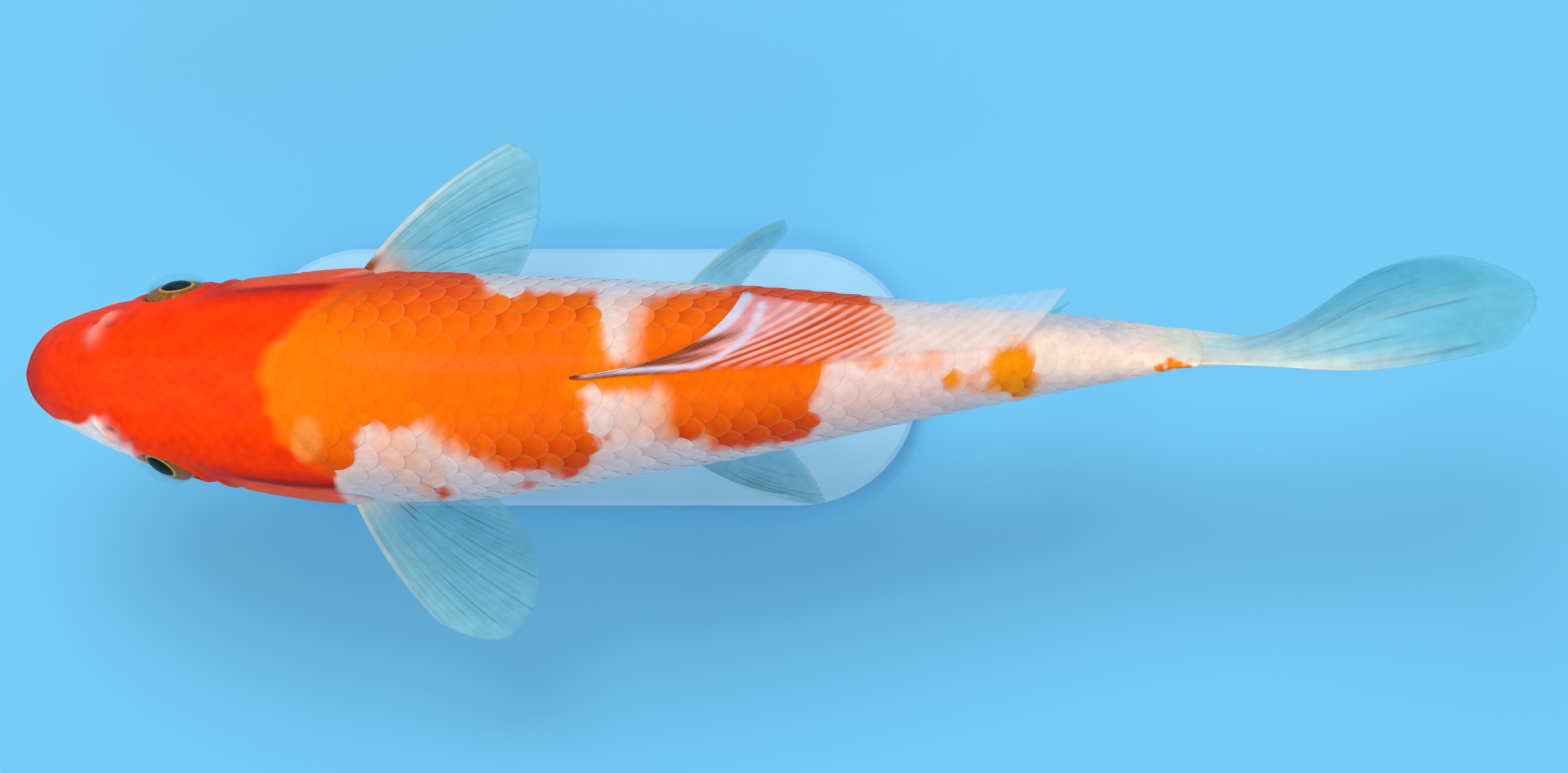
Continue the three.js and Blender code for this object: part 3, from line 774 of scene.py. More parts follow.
head_stations = HEAD_END * (np.arange(1, HEAD_RINGS) / HEAD_RINGS) ** 1.5
trunk_stations = np.linspace(HEAD_END, SCALES_END, TRUNK_RINGS, endpoint=False)
stalk_stations = np.linspace(SCALES_END, LAST_RING, STALK_RINGS)
ring_stations = np.concatenate([head_stations, trunk_stations, stalk_stations])
ring_shares = np.linspace(-1, 1, ROUND + 1)[:-1]
grid = np.meshgrid(ring_stations, ring_shares, indexing="ij")
station, share = (part.ravel() for part in grid)
skin_side = flank(station, share)
scaled = ramp(behind_nape(station, skin_side), -3, 4)
smooth_spots, outward = skin_point(station, share)
height = smooth_spots[:, 2] - AXIS_HEIGHT
lift = -SKIN_DEPTH * scaled * mix(1, STALK_SHARE, ramp(station, 246, 260))
skin_tint = markings_and_shade(station, skin_side)
for side in (LEFT, RIGHT):
    here = (station < HEAD_END) & (np.sign(share + 1e-9) == side)
    near, along, up = smooth_spots[here], station[here], height[here]
    lift[here] += head_folds(near, along, up, side)
    flap = hump(from_line(near, NOSTRIL_FLAP, side), 1.8)
    flap = np.maximum(flap, hump(from_line(near, NOSTRIL_FLAP[0], side), 2.6))
    lid = from_eye(along, up, side)
    depth, free = gill_edge(along, up)
    skin_tint[here] = layered(
        skin_tint[here],
        # Painted shade: a dark line in the groove of the mouth.
        (MOUTH_SHADE, 0.8 * ramp(from_line(near, MOUTH, side), 0.9, 0.2)),
        (PALE_FLAP, FLAP_PALLOR[side] * flap),
        # Painted shade: the nostril holes are painted dark inside.
        *[(NOSTRIL_SHADE, 0.7 * hump(from_line(near, hole, side), width))
          for hole, width, _ in NOSTRILS],
        # Painted shade: a dark ring in the crease round the eye, and darker skin in the socket under
        # it.
        (EYE_CREASE_SHADE, 0.7 * hump(lid, 0.5)),
        (SOCKET_SHADE, ramp(lid, -0.1, -0.9)),
        (GILL_RIM, 0.6 * free * hump(depth + 1.1, 0.7)),
        # Painted shadow: the gap under the free edge of the gill cover is painted dark.
        (GILL_GAP_SHADE, 0.65 * free * hump(depth + 2.8, 0.7)),
    )
vent = np.hypot(station - VENT, (np.abs(share) - 1) * half_girth(station))
lift += 0.8 * hump(vent, 2.2) - 0.9 * hump(vent, 0.7)
skin_tint = blend(skin_tint, VENT_PINK, 0.6 * hump(vent, 2.4))
spots = smooth_spots + outward * lift[:, None]
spots[:, 0] -= SNOUT_PUSH * hump(spots[:, 1] - 0.5, 5) * ramp(station, 9, 1)
ends = [
    (SNOUT_X - SNOUT_PUSH, 0.5, AXIS_HEIGHT - 9),
    (SNOUT_X + BODY_LENGTH - 0.1, 6.9, AXIS_HEIGHT + 0.7),
]
count = len(ring_stations)
around = np.arange(ROUND)


def ring_map(ring, spoke):
    """Where a point of the skin lies on its map. The last spoke lies beside the first again."""
    return np.stack([(spoke + 0.5) / (ROUND + 1), ring_stations[ring] / BODY_LENGTH], -1)


def cap_map(ring, edge, first, second):
    """The map of one end's fan, whose tip is drawn out to the edge of the map."""
    ring = 0 * around + ring
    tip = np.stack([(around + 1) / ROUND, 0 * around + edge], -1)
    return np.stack([tip, ring_map(ring, around + first), ring_map(ring, around + second)], -2)


skin_maps = [
    ring_map(*tube_corners(count, ROUND, 1)), cap_map(0, 0, 0, 1), cap_map(count - 1, 1, 1, 0),
]
skin = make_piece(
    "skin", np.vstack([spots, ends]), [tube_faces(count, ROUND, 1), tube_caps(count, ROUND)],
    skin_finish, {"tint": np.vstack([skin_tint, CRIMSON, WHITE_STALK])},
    np.vstack([part.reshape(-1, 2) for part in skin_maps]))
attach(skin, "root")
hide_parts("head", "lower_jaw", "trunk", "tail_stalk", "gill_cover_left", "gill_cover_right")

# %% [markdown]
# ## Scales
#
# Each scale is a thin round plate, rooted in front and free behind, and each lies over the
# front of the next, like tiles. Rows run beside the lateral line, a scale's half step apart,
# and they run out one by one at the back and at the belly as the body narrows. A loop lays
# them out on the skin's own coordinates, so that every plate bends with the body, and joins
# them into one mesh for each side and one for the middle lines.

# %% Lay out the scales
PITCH = [(54, 5.6), (110, 6.0), (190, 5.7), (268, 4.6)]
ROW_GAP = [(54, 6.2), (110, 6.5), (190, 6.0), (268, 4.7)]
SCALE_END = 257
LEAST_ROOM = 0.65
HALF_WIDTH = 0.76


def profile(table, station):
    return np.interp(station, *np.transpose(table))


def scale_stations(start):
    spots = [start]
    while spots[-1] < SCALE_END:
        spots.append(spots[-1] + profile(PITCH, spots[-1]))
    return np.array(spots[:-1])


def lateral_way(station):
    """The lateral line's way from the back, in millimetres."""
    height = profile(LATERAL_LINE, station)
    return share_at_height(station, height) * half_girth(station)


def middle_row(share):
    """Scales down the middle of the back or belly, each as wide as the rows beside it leave."""
    found = []
    for station, phase in sorted([(s, 0) for s in full_stations] + [(s, 1) for s in half_steps]):
        gap, way = profile(ROW_GAP, station), lateral_way(station)
        way = half_girth(station) - way if share else way
        rows_between = int((way - LEAST_ROOM * gap) / gap)
        room = way - rows_between * gap
        apart = station - found[-1][0] if found else gap
        if rows_between % 2 != phase and apart > 0.45 * profile(PITCH, station):
            found.append((station, share, 99, room / gap - 0.26))
    return found


full_stations = scale_stations(50.0)
half_steps = (full_stations[:-1] + full_stations[1:]) / 2
scale_rows = {"scales_left": [], "scales_right": []}
for row in range(-9, 10):
    stations = half_steps if row % 2 else full_stations
    gaps = profile(ROW_GAP, stations)
    ways = lateral_way(stations) - row * gaps
    ends_at = half_girth(stations)
    keep = (ways > LEAST_ROOM * gaps) & (ways < ends_at - LEAST_ROOM * gaps)
    for name, side in (("scales_left", LEFT), ("scales_right", RIGHT)):
        shares = side * ways / ends_at
        chosen = keep & (behind_nape(stations, flank(stations, shares)) > 1)
        spots = zip(stations[chosen], shares[chosen])
        scale_rows[name] += [(station, share, row, HALF_WIDTH) for station, share in spots]
scale_rows["scales_middle"] = [
    scale for share in (0.0, 1.0) for scale in middle_row(share)
    if behind_nape(scale[0], 2 * share) > 1
]
print({name: len(rows) for name, rows in scale_rows.items()})

# %% Make the scales
RINGS = [0.3, 0.55, 0.77, 0.91, 0.98, 1.0]
SPOKES = 30
FREE_LENGTH, ROOT_LENGTH = 0.98, 0.7
TILT, DOME, RIM = 0.055, 0.15, 0.07
SINK, NAPE_SINK = 0.12, 0.8
TUBE_RISE, PORE_DEPTH = 0.22, 0.15
UNEVEN = 0.03
SHOWN_AT = 0.45
PATCH = 0.003
SHADE_TAKES = np.array([0.4, 0.75, 0.6])
PALE_RIM, ORANGE_RIM, PORE_DARK = (0.96, 0.9, 0.86), (1.0, 0.32, 0.08), (0.12, 0.05, 0.04)

# The points of one scale: its rings, its rim again underneath, and its two middles.
angle = np.linspace(0, 2 * np.pi, SPOKES, endpoint=False)
all_angle = np.append(np.tile(angle, len(RINGS) + 1), [0, 0])
all_ring = np.append(np.repeat([*RINGS, 1], SPOKES), [0, 0])
is_under = np.append(np.repeat([0] * len(RINGS) + [1], SPOKES), [0, 1])
all_along, all_across = all_ring * np.cos(all_angle), all_ring * np.sin(all_angle)
one_scale = [tube_faces(len(RINGS) + 1, SPOKES), tube_caps(len(RINGS) + 1, SPOKES)]


def scale_coat(name, rows):
    rng = np.random.default_rng(len(rows))
    middle, share, row, width = np.array(rows, float).T
    pitch, gap = profile(PITCH, middle), profile(ROW_GAP, middle)
    jitter = rng.uniform(-1, 1, (3, len(rows), 1))
    size = 1 + UNEVEN * jitter[0]
    reach = np.where(all_along > 0, FREE_LENGTH, ROOT_LENGTH)
    dx = all_along * reach * pitch[:, None] * size
    dy = all_across * (width * gap)[:, None] * size
    swing = UNEVEN * jitter[1]
    dx, dy = dx - dy * swing, dy + dx * swing
    station = np.clip(middle[:, None] + dx, 1, BODY_LENGTH - 1)
    there = (share[:, None] + dy / half_girth(station) + 1) % 2 - 1
    side = flank(station, there)
    behind = behind_nape(station, side)
    relief = mix(0.28, 1, ramp(np.abs(side), 0.2, 0.7)) * mix(1, 0.25, ramp(station, 238, 256))
    relief = relief * mix(1, 0.45, ramp(station, 180, 215))
    lift = TILT * dx + DOME * (1 - all_ring**2) - SINK - RIM * is_under + 0.02 * jitter[2]
    lift = lift * relief - 0.1 - 0.2 * (is_under * (all_ring == 0))
    lift -= NAPE_SINK * ramp(behind, 7, -1)
    on_line = (np.abs(row) < 0.5)[:, None] * (middle > 80)[:, None] * (1 - is_under)
    tube = on_line * hump(dy, 0.55) * ramp(dx, -1.5, 0.5) * ramp(dx, 4.6, 3.8)
    pore = on_line * hump(np.hypot(dy, dx - 4.0), 0.45)
    lift += TUBE_RISE * tube - PORE_DEPTH * pore
    spots, _ = skin_point(station, there, lift)
    exposed = middle + SHOWN_AT * pitch
    shown = (exposed, flank(exposed, share))
    spread = [np.broadcast_to(part[:, None], station.shape) for part in shown]
    tint = markings_and_shade(station, side, *spread)
    warmth = ramp(tint[..., 0] - tint[..., 2], 0.3, 0.8)
    on_flank = ramp(np.abs(side), 0.2, 0.75) * ramp(behind, 2, 24) * (0.8 + 0.2 * jitter[2])
    shaded = ramp(dx, 3.2, -0.4) * (0.05 + 0.5 * on_flank) * (0.35 + 0.65 * warmth)
    rim = ramp(all_ring, 0.84, 0.96) * ramp(dx, 0.5, 3.0)
    tint = tint * (1 - shaded[..., None] * SHADE_TAKES)
    tint = blend(tint, blend(PALE_RIM, ORANGE_RIM, warmth), rim * (0.01 + 0.22 * on_flank))
    tint = tint * (1 + 0.05 * jitter[0][..., None] * on_flank[..., None])
    tint = blend(tint, PORE_DARK, pore * 0.4)
    starts = np.arange(len(rows))[:, None, None] * len(all_ring)
    faces = [(starts + group).reshape(-1, group.shape[1]) for group in one_scale]
    home = np.stack([(share + 1) / 2, middle / BODY_LENGTH], -1)[:, None]
    local = np.stack([all_across, all_along], -1) * PATCH / 2
    maps = np.clip(home + local, 0.001, 0.999).reshape(-1, 2)
    made = make_piece(name, spots.reshape(-1, 3), faces, scale_finish,
                      {"tint": np.clip(tint, 0, 1).reshape(-1, 3)},
                      np.vstack([maps[group.ravel()] for group in faces]))
    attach(made, "root")


for name, rows in scale_rows.items():
    scale_coat(name, rows)

# %% [markdown]
# ## Fins
#
# A fin is a thin clear skin on a fan of bony rays. Each ray is one strand at its root and
# splits in two, and again, towards the edge. So a fin is a closed sheet over the same surface
# as its solid, thick along the rays and thin between them. The sheet carries how bony it is at
# each point, and the finish turns that into colour and clearness.

# %% Fin surfaces
RAY_STRIDES = 6
# The paired fins. A root runs from the first ray to the last: station, aside and height. A pose
# is the heading of the first and last ray, the bend and the drop, in degrees. An edge is where
# the longest ray stands, how much shorter the first and last are, and in what curve.
PECTORAL = {
    "middle_at": 80.0, "root": [(72, 21, -17), (84, 16.5, -24)], "length": 57,
    "poses": {LEFT: (73, 11, 28, 20), RIGHT: (60, -1, 31, 13)}, "last_drop": 9,
    "edges": {LEFT: (0.2, 0.22, 0.85, 1.8), RIGHT: (0.1, 0.03, 0.7, 1.1)},
    "fanning": 0.9, "sag": 2.5, "wave": 0.7,
}
PELVIC = {
    "middle_at": 147.0, "root": [(144, 10.5, -28), (150, 5, -30)], "length": 50,
    "poses": {LEFT: (53, 15, 50, 16), RIGHT: (62, 40, 42, 30)}, "last_drop": 46,
    "edges": {LEFT: (0.1, 0.2, 0.44, 1.2), RIGHT: (0.27, 0, 0.85, 0.95)},
    "fanning": 1.0, "sag": 0.0, "wave": 0.0,
}
# The fins on the middle line: where the root starts, how far it runs, and the longest ray.
ANAL_FROM, ANAL_RUN, ANAL_LENGTH = 213, 17, 41
DORSAL_FROM, DORSAL_RUN, DORSAL_LENGTH = 125, 102, 48
TAIL_FROM, LOBE_LENGTH, FORK_LENGTH = 266, 81.5, 48
ANAL_LEAN, LOBE_SLANT = np.radians(28), np.radians(14.5)
ANAL_EDGE = (0.15, 0.05, 0.56, 1.1)


def body_at(station):
    _, aside, height, _, rise, fall = body_rows(station)
    return aside, height + rise, height - fall


def place(station, aside, height):
    station, aside, height = np.broadcast_arrays(station, aside, height)
    return np.stack([SNOUT_X + station, aside, AXIS_HEIGHT + height], -1)


def ray_end(root, side, length, heading, bend, drop=0.0, onset=1):
    """Where a ray ends that leaves its root at a heading and bends inward along the way."""
    spot = np.array(np.broadcast_to(root, (*np.shape(length), 3)), float)
    stride = length / RAY_STRIDES
    drop = np.radians(drop)
    for step in range(RAY_STRIDES):
        turn = np.radians(heading - bend * ((step + 0.5) / RAY_STRIDES) ** onset)
        spot[..., 0] += stride * np.cos(turn) * np.cos(drop)
        spot[..., 1] += side * stride * np.sin(turn) * np.cos(drop)
        spot[..., 2] -= stride * np.sin(drop)
    return spot


def rounded_edge(along, longest, front_loss, back_loss, power):
    front = 1 - front_loss * np.clip(1 - along / longest, 0, 1) ** 2
    back = 1 - back_loss * np.clip((along - longest) / (1 - longest), 0, 1) ** power
    return np.where(along < longest, front, back)


def paired_fin(side, middle_at, root, length, poses, last_drop, edges, fanning, sag, wave):
    """A paired fin's surface, from the reach out along its rays and the way along its root."""
    lead, trail, bend, drop = poses[side]

    def surface(reach, along):
        station, aside, height = (mix(first, last, along) for first, last in zip(*root))
        start = place(station, body_at(middle_at)[0] + side * aside, height)
        size = reach * length * rounded_edge(along, *edges[side])
        heading, fall = mix(lead, trail, along**fanning), mix(drop, last_drop, along)
        spot = ray_end(start, side, size, heading, bend * reach * (1 - along), fall)
        spot[..., 2] -= sag * np.sin(reach * np.pi) * (1 - along)
        spot[..., 2] += wave * np.sin(along * 17) * reach**2
        return spot
    return surface


def anal(reach, along):
    station = ANAL_FROM + ANAL_RUN * along
    aside, _, belly = body_at(station)
    length = reach * ANAL_LENGTH * rounded_edge(along, *ANAL_EDGE)
    slant = np.radians(mix(43, 58, along))
    fall = length * np.sin(slant)
    aside, height = aside + fall * np.sin(ANAL_LEAN), belly + 2.5 - fall * np.cos(ANAL_LEAN)
    return place(station + length * np.cos(slant), aside, height)


def dorsal(reach, along):
    station = DORSAL_FROM + DORSAL_RUN * along
    front = np.exp(-9 * along)
    root = place(station, body_at(station)[0] + 0.6, 0)
    length = reach * DORSAL_LENGTH * (1 - 0.58 * along**0.9)
    bend = -(10 + 48 * front) * reach**2
    spot = ray_end(root, RIGHT, length, 19 + 26 * along**3 - 12 * front, bend, onset=2)
    aside, back, _ = body_at(spot[..., 0] - SNOUT_X)
    lift = mix(-2, 1.3, ramp(reach, 0, 0.08)) + 1.6 * reach + 0.5 * np.sin(along * 40) * reach
    spot[..., 2] = AXIS_HEIGHT + back + lift - 0.042 * (spot[..., 1] - aside) ** 2
    return spot


def caudal(reach, along):
    lobe = 1 - 2 * along
    from_fork = np.abs(lobe)
    tip_loss = 9 * np.clip((from_fork - 0.7) / 0.3, 0, 1) ** 2
    longest = mix(FORK_LENGTH, LOBE_LENGTH, ramp(from_fork, 0, 0.95))
    length = reach * (longest - tip_loss) * np.where(lobe > 0, 1.05, 1)
    slant = lobe * LOBE_SLANT
    station = TAIL_FROM + length * np.cos(slant)
    height = 0.7 + lobe * 13.4 + length * np.sin(slant)
    upper_edge = 1.1 + np.where(station > 300, 0.0038, 0.0022) * (station - 300) ** 2
    fold = mix(7, 31, ramp(station, 264, 338))
    cup = np.where(lobe > 0, 1 - from_fork**2.6, 1 - 0.5 * from_fork**2)
    aside = mix(6.8 - 4 * lobe, mix(upper_edge, fold, cup), ramp(station, 268, 312))
    return place(station, aside, height)


# %% [markdown]
# ## Fin finish
#
# Held up to the light, the skin of a fin is almost clear and the rays are milky. The finish
# mixes a clear shader with a wet one. The mix follows the bone value stored on the sheet, with
# a fine noise, so that the fin thins out unevenly towards its edge.

# %% Fin material
clear_fin = finish(
    "clear fin", shades=[(300, 4, 0.88, 1.06)], roughness=(600, 3, 0.28, 0.42),
    grain=(900, 3, 0.3, 0.1), sockets={
        "Specular IOR Level": 0.25,
        "Coat Weight": 0.2,
        "Coat Roughness": 0.15,
    })
body = attribute(clear_fin, "body", "Fac")
cover = times(clear_fin, body, wavering(clear_fin, 170, 3, 0.85, 1.1), clamp=True)
wire(clear_fin, clear_fin.node_tree.nodes["Principled BSDF"], {"Alpha": cover})

# %% Strands and sheets
MEMBRANE = 0.14
RAGGED = 0.014
MILKY_RAY_FLOOR_BLUE, CLEAR_FIN_FLOOR_BLUE, FIN_DARK = (0.38, 0.73, 0.78), (0.07, 0.46, 0.63), (0.01, 0.12, 0.18)
EDGE_CREAM, FIN_ROOT = (0.86, 0.86, 0.74), (0.9, 0.84, 0.74)


def strands(along, reach, rays, split_at=0.3):
    """How much of a ray each point holds, with two splits towards the edge."""
    part = along * rays % 1
    first = 0.25 * ramp(reach, split_at, split_at + 0.35)
    second = 0.115 * ramp(reach, split_at + 0.3, 1.0)
    width = mix(0.24, 0.1, ramp(reach, 0.1, 0.8))
    bone = np.zeros(part.shape)
    for one in (-1, 1):
        for two in (-1, 1):
            bone = np.maximum(bone, hump(part - 0.5 - one * first - two * second, width))
    return bone


def hairlines(along, reach, rays):
    """Fine dark lines beside the rays, some long and some short."""
    rng = np.random.default_rng(rays)
    start, length, strength = rng.uniform(0, 1, (3, rays * 3 + 1))
    start, length, strength = 0.12 + 0.45 * start, 0.15 + 0.4 * length, strength**1.3
    place = along * rays * 3
    near = np.rint(place).astype(int)
    begins = ramp(reach, start[near] - 0.04, start[near] + 0.06)
    ends = ramp(reach, start[near] + length[near] + 0.08, start[near] + length[near])
    return hump(place - near, 0.15) * begins * ends * strength[near]


def make_fin(name, surface, color_fin, rays, rows, per_ray, root, taper, replaced,
             bones=None, thick=0.13):
    """A closed sheet. Root is how thick it starts, and taper how fast it thins from there."""
    rng = np.random.default_rng(rays * 7 + rows)
    columns = rays * per_ray + 1
    along = np.linspace(0, 1, columns)
    reach = np.linspace(0, 1, rows) ** 0.95
    frayed = np.interp(along, np.linspace(0, 1, rays * 2 + 1), rng.uniform(0, 1, rays * 2 + 1))
    lobes = np.abs(np.cos(along * rays * 2 * np.pi))
    trim = 1 - RAGGED * (0.6 * frayed + 0.4 * lobes)
    sheet_reach, sheet_along = np.meshgrid(reach, along, indexing="ij")
    bone = bones(sheet_along, sheet_reach) if bones else strands(sheet_along, sheet_reach, rays)
    where = sheet_reach * mix(1, trim, sheet_reach**6)
    spots = surface(where, sheet_along)
    normal = unit(np.cross(np.gradient(spots, axis=0), np.gradient(spots, axis=1)))
    fleshy = root * np.exp(-taper * sheet_reach)
    thickness = np.maximum(fleshy, MEMBRANE + thick * mix(1, 0.6, sheet_reach) * bone)
    border = np.minimum(sheet_along, 1 - sheet_along) * rays * 2
    thickness = thickness * np.maximum(ramp(border, -0.3, 0.6), 0.4)
    half = normal * (thickness / 2)[..., None]
    points = np.vstack([(spots + half).reshape(-1, 3), (spots - half).reshape(-1, 3)])
    size = rows * columns
    sheets = np.vstack([grid_faces(rows, columns), grid_faces(rows, columns, size)[:, ::-1]])
    loop = np.concatenate([
        np.arange(columns), columns * np.arange(1, rows) + columns - 1,
        size - 2 - np.arange(columns - 1), columns * np.arange(rows - 2, 0, -1),
    ])
    after = np.roll(loop, -1)
    rim = np.stack([after, loop, loop + size, after + size], -1)
    tint, body = color_fin(sheet_reach, sheet_along, bone, rays)
    values = {
        "tint": np.clip(np.tile(tint.reshape(-1, 3), (2, 1)), 0, 1),
        "body": np.clip(np.tile(body.ravel(), 2), 0.02, 1),
    }
    u, v = sheet_along.ravel() * 0.48 + 0.01, sheet_reach.ravel() * 0.96 + 0.02
    maps = np.vstack([np.stack([u, v], -1), np.stack([u + 0.5, v], -1)])
    rim_corners = np.stack([after, loop, loop, after], -1)
    corner_maps = np.vstack([maps[sheets.ravel()], maps[rim_corners.ravel()]])
    made = make_piece(name, points, [sheets, rim], clear_fin, values, corner_maps)
    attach(made, "root")
    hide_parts(*replaced)


# %% Paired fins and anal fin
SPOT_BROWN, STROKE_DARK = (0.3, 0.05, 0.004), (0.01, 0.03, 0.05)


def plain_fin(reach, along, bone, rays, lead=0.05, milk=0.75):
    """Clear skin, milky rays with dark hairlines beside them, and a creamy leading edge."""
    front, near = ramp(along, 0.34, 0.04), ramp(reach, 0.34, 0.03)
    hair = hairlines(along, reach, rays)
    edge = ramp(along, lead, lead * 0.3) * ramp(reach, 0.95, 0.3)
    # Painted light: the clear and milky tones are teal, the floor's blue painted in as if seen
    # through the fin.
    tint = layered(
        CLEAR_FIN_FLOOR_BLUE,
        (MILKY_RAY_FLOOR_BLUE, milk * (0.3 + 0.2 * ramp(bone, 0.2, 0.9))),
        (MILKY_RAY_FLOOR_BLUE, 0.6 * front * milk),
        (FIN_DARK, 0.75 * hair),
        (EDGE_CREAM, 0.6 * edge),
        (FIN_ROOT, near * 0.8),
    )
    body = 0.44 + 0.06 * ramp(bone, 0.2, 0.8) + 0.4 * near + 0.2 * edge + 0.4 * hair + 0.16 * front
    return tint, body * mix(1.0, 0.9, reach) * mix(0.55, 1, ramp(reach, 1.0, 0.94))


def right_pectoral(reach, along, bone, rays):
    """An orange blush at the root, and a brown spot where the first ray leaves the body."""
    tint, body = plain_fin(reach, along, bone, rays)
    blush = hump(np.hypot((reach - 0.14) / 0.14, (along - 0.3) / 0.3), 1)
    spot = hump(np.hypot((reach - 0.13) / 0.075, (along - 0.03) / 0.06), 1)
    tint = layered(tint, (ORANGE_EDGE, 0.65 * blush), (SPOT_BROWN, np.clip(1.6 * spot, 0, 1)))
    return tint, body + 0.4 * blush + 0.5 * spot


def left_pectoral(reach, along, bone, rays):
    """Two short dark strokes near the root."""
    tint, body = plain_fin(reach, along, bone, rays)
    strokes = hump(along - 0.36, 0.006) * ramp(reach, 0.2, 0.24) * ramp(reach, 0.36, 0.32)
    strokes += hump(along - 0.415, 0.005) * ramp(reach, 0.23, 0.26) * ramp(reach, 0.34, 0.3)
    return blend(tint, STROKE_DARK, 0.9 * strokes), body + 0.5 * strokes


for side, word, look in ((LEFT, "left", left_pectoral), (RIGHT, "right", right_pectoral)):
    make_fin(f"pectoral_fin_{word}_skin", paired_fin(side, **PECTORAL), look, rays=15, rows=44,
             per_ray=14, root=4, taper=8, replaced=[f"pectoral_fin_{word}"])
    make_fin(f"pelvic_fin_{word}_skin", paired_fin(side, **PELVIC), plain_fin, rays=9, rows=36,
             per_ray=14, root=3, taper=8, replaced=[f"pelvic_fin_{word}"])
make_fin("anal_fin_skin", anal, plain_fin, rays=8, rows=30, per_ray=12, root=2.4, taper=9,
         replaced=["anal_fin"])

# %% [markdown]
# ## Back fin
#
# The back fin lies folded over to the fish's right. Its first rays lie close together, so they
# make two pale strips with pink skin between, and the strips meet at the fin's tip. Behind
# them each ray is one thick pink strand, and the skin between is clear enough to show the
# plate below. Behind the plate the whole fin turns whitish.

# %% Back fin
DORSAL_RAYS = 20
FOLD_LINE = [
    (130, 0.4), (137, 1.2), (145, 1.7), (155, 2.4), (160, 4), (165, 7), (168.6, 11), (170.5, 16),
]
LILAC, FIN_PINK, RAY_PINK = (0.66, 0.62, 0.77), (0.9, 0.42, 0.46), (0.98, 0.43, 0.36)
FIN_RED, REAR_WHITE = (0.95, 0.25, 0.12), (0.93, 0.84, 0.8)
SHADED_RAY_BROWN, SHADED_RAY_DARK = (0.5, 0.09, 0.006), (0.12, 0.014, 0.002)


def fold_strip(along, reach):
    """The second pale strip: a crease that runs across the front rays."""
    spot = dorsal(reach, along)
    away = line_distance(spot[..., 0] - SNOUT_X, spot[..., 1], FOLD_LINE)
    return hump(away, mix(0.5, 1.0, ramp(reach, 0.2, 0.7))) * ramp(along, 0.4, 0.3)


def dorsal_bones(along, reach):
    part = along * DORSAL_RAYS % 1
    single = hump(part - 0.5, mix(0.3, 0.24, ramp(reach, 0.1, 0.9)))
    single = single * ramp(along, 0.07, 0.13)
    edge = ramp(along, 0.045, 0.02) * ramp(reach, 0.1, 0.4)
    return np.maximum(np.maximum(single, fold_strip(along, reach)), edge)


def dorsal_look(reach, along, bone, rays):
    rear = ramp(dorsal(reach, along)[..., 0] - SNOUT_X, 190, 203)
    bundle = ramp(along, 0.3, 0.16) * ramp(reach, 0.2, 0.45)
    narrow = 1 - 0.5 * ramp(reach, 0.7, 1)
    first_strip = ramp(along, 0.06 * narrow, 0.035 * narrow) * ramp(reach, 0.6, 0.75)
    strip = np.maximum(fold_strip(along, reach), first_strip)
    # Painted shade with the fin's own colour: the thick front rays and the root are streaked brown,
    # partly their own brown-orange and partly shade.
    grain = 0.6 + 0.4 * np.sin(along * 260 + 3 * np.sin(reach * 11))
    broad = ramp(along, 0.3, 0.14) * ramp(reach, 0.5, 0.3)
    shade = np.maximum(broad, ramp(along, 0.18, 0.08) * ramp(reach, 0.8, 0.62)) * (1 - strip)
    tint = layered(
        FIN_RED,
        (RAY_PINK, ramp(bone, 0.2, 0.7)),
        (REAR_WHITE, rear),
        (FIN_PINK, bundle * (1 - bone)),
        (LILAC, strip),
        (blend(SHADED_RAY_BROWN, SHADED_RAY_DARK, grain), shade),
    )
    strand = ramp(bone, 0.15, 0.65) * mix(0.35, 1, ramp(reach, 0.03, 0.3))
    body = 0.06 + 0.72 * strand * mix(1, 0.1, rear) + 0.6 * bundle
    body = body + 0.85 * shade + strip + 0.13 * rear
    body = body * mix(1, 0.5, rear * ramp(reach, 0.5, 0.85)) * mix(1, ramp(reach, 0.0, 0.2), rear)
    return tint, body * ramp(reach, 1.08, 0.9) + 0.07 * ramp(along, 0.982, 0.995)


make_fin("dorsal_fin_skin", dorsal, dorsal_look, rays=DORSAL_RAYS, rows=40, per_ray=12, root=2,
         taper=14, replaced=["dorsal_fin"], bones=dorsal_bones, thick=0.42)

# %% Tail fin
LOW_EDGE, TAIL_ROOT, FORK_PAINTED_LIGHT = (0.74, 0.76, 0.65), (0.95, 0.8, 0.6), (0.74, 0.8, 0.7)
TAIL_STREAK = (0.85, 0.13, 0.02)


def caudal_look(reach, along, bone, rays):
    milk = mix(0.9, 0.15, ramp(reach, 0.35, 0.85))
    tint, body = plain_fin(reach, along, bone, rays, lead=0.06, milk=milk)
    low_edge, root = ramp(along, 0.965, 0.995), ramp(reach, 0.55, 0.08)
    tint = layered(
        tint,
        (LOW_EDGE, np.maximum(0.8 * low_edge, root * 0.9)),
        # The root takes the stalk's cream, partly its own colour and partly painted warmth against
        # the blue light on the steep blade.
        (TAIL_ROOT, ramp(reach, 0.3, 0.05)),
        # Painted light: the steep fold at the fork is painted paler against the shade it falls in.
        (FORK_PAINTED_LIGHT, 0.6 * hump(along - 0.5, 0.12) * ramp(reach, 0.85, 0.4)),
        (TAIL_STREAK, 0.8 * ramp(reach, 0.1, 0.03) * ramp(along, 0.2, 0.04)),
    )
    fold = ramp(along, 0.02, 0.1) * ramp(along, 0.42, 0.3)
    fold = fold * ramp(reach, 0.2, 0.4) * ramp(reach, 0.8, 0.6)
    body = body + 0.3 * low_edge + 0.04 + 0.5 * root - 0.14 * fold
    return tint, body * mix(1, 0.8, ramp(reach, 0.4, 1.0))


make_fin("caudal_fin_skin", caudal, caudal_look, rays=20, rows=60, per_ray=14, root=1.4, taper=7,
         replaced=["caudal_fin_upper", "caudal_fin_lower"], thick=0.11)

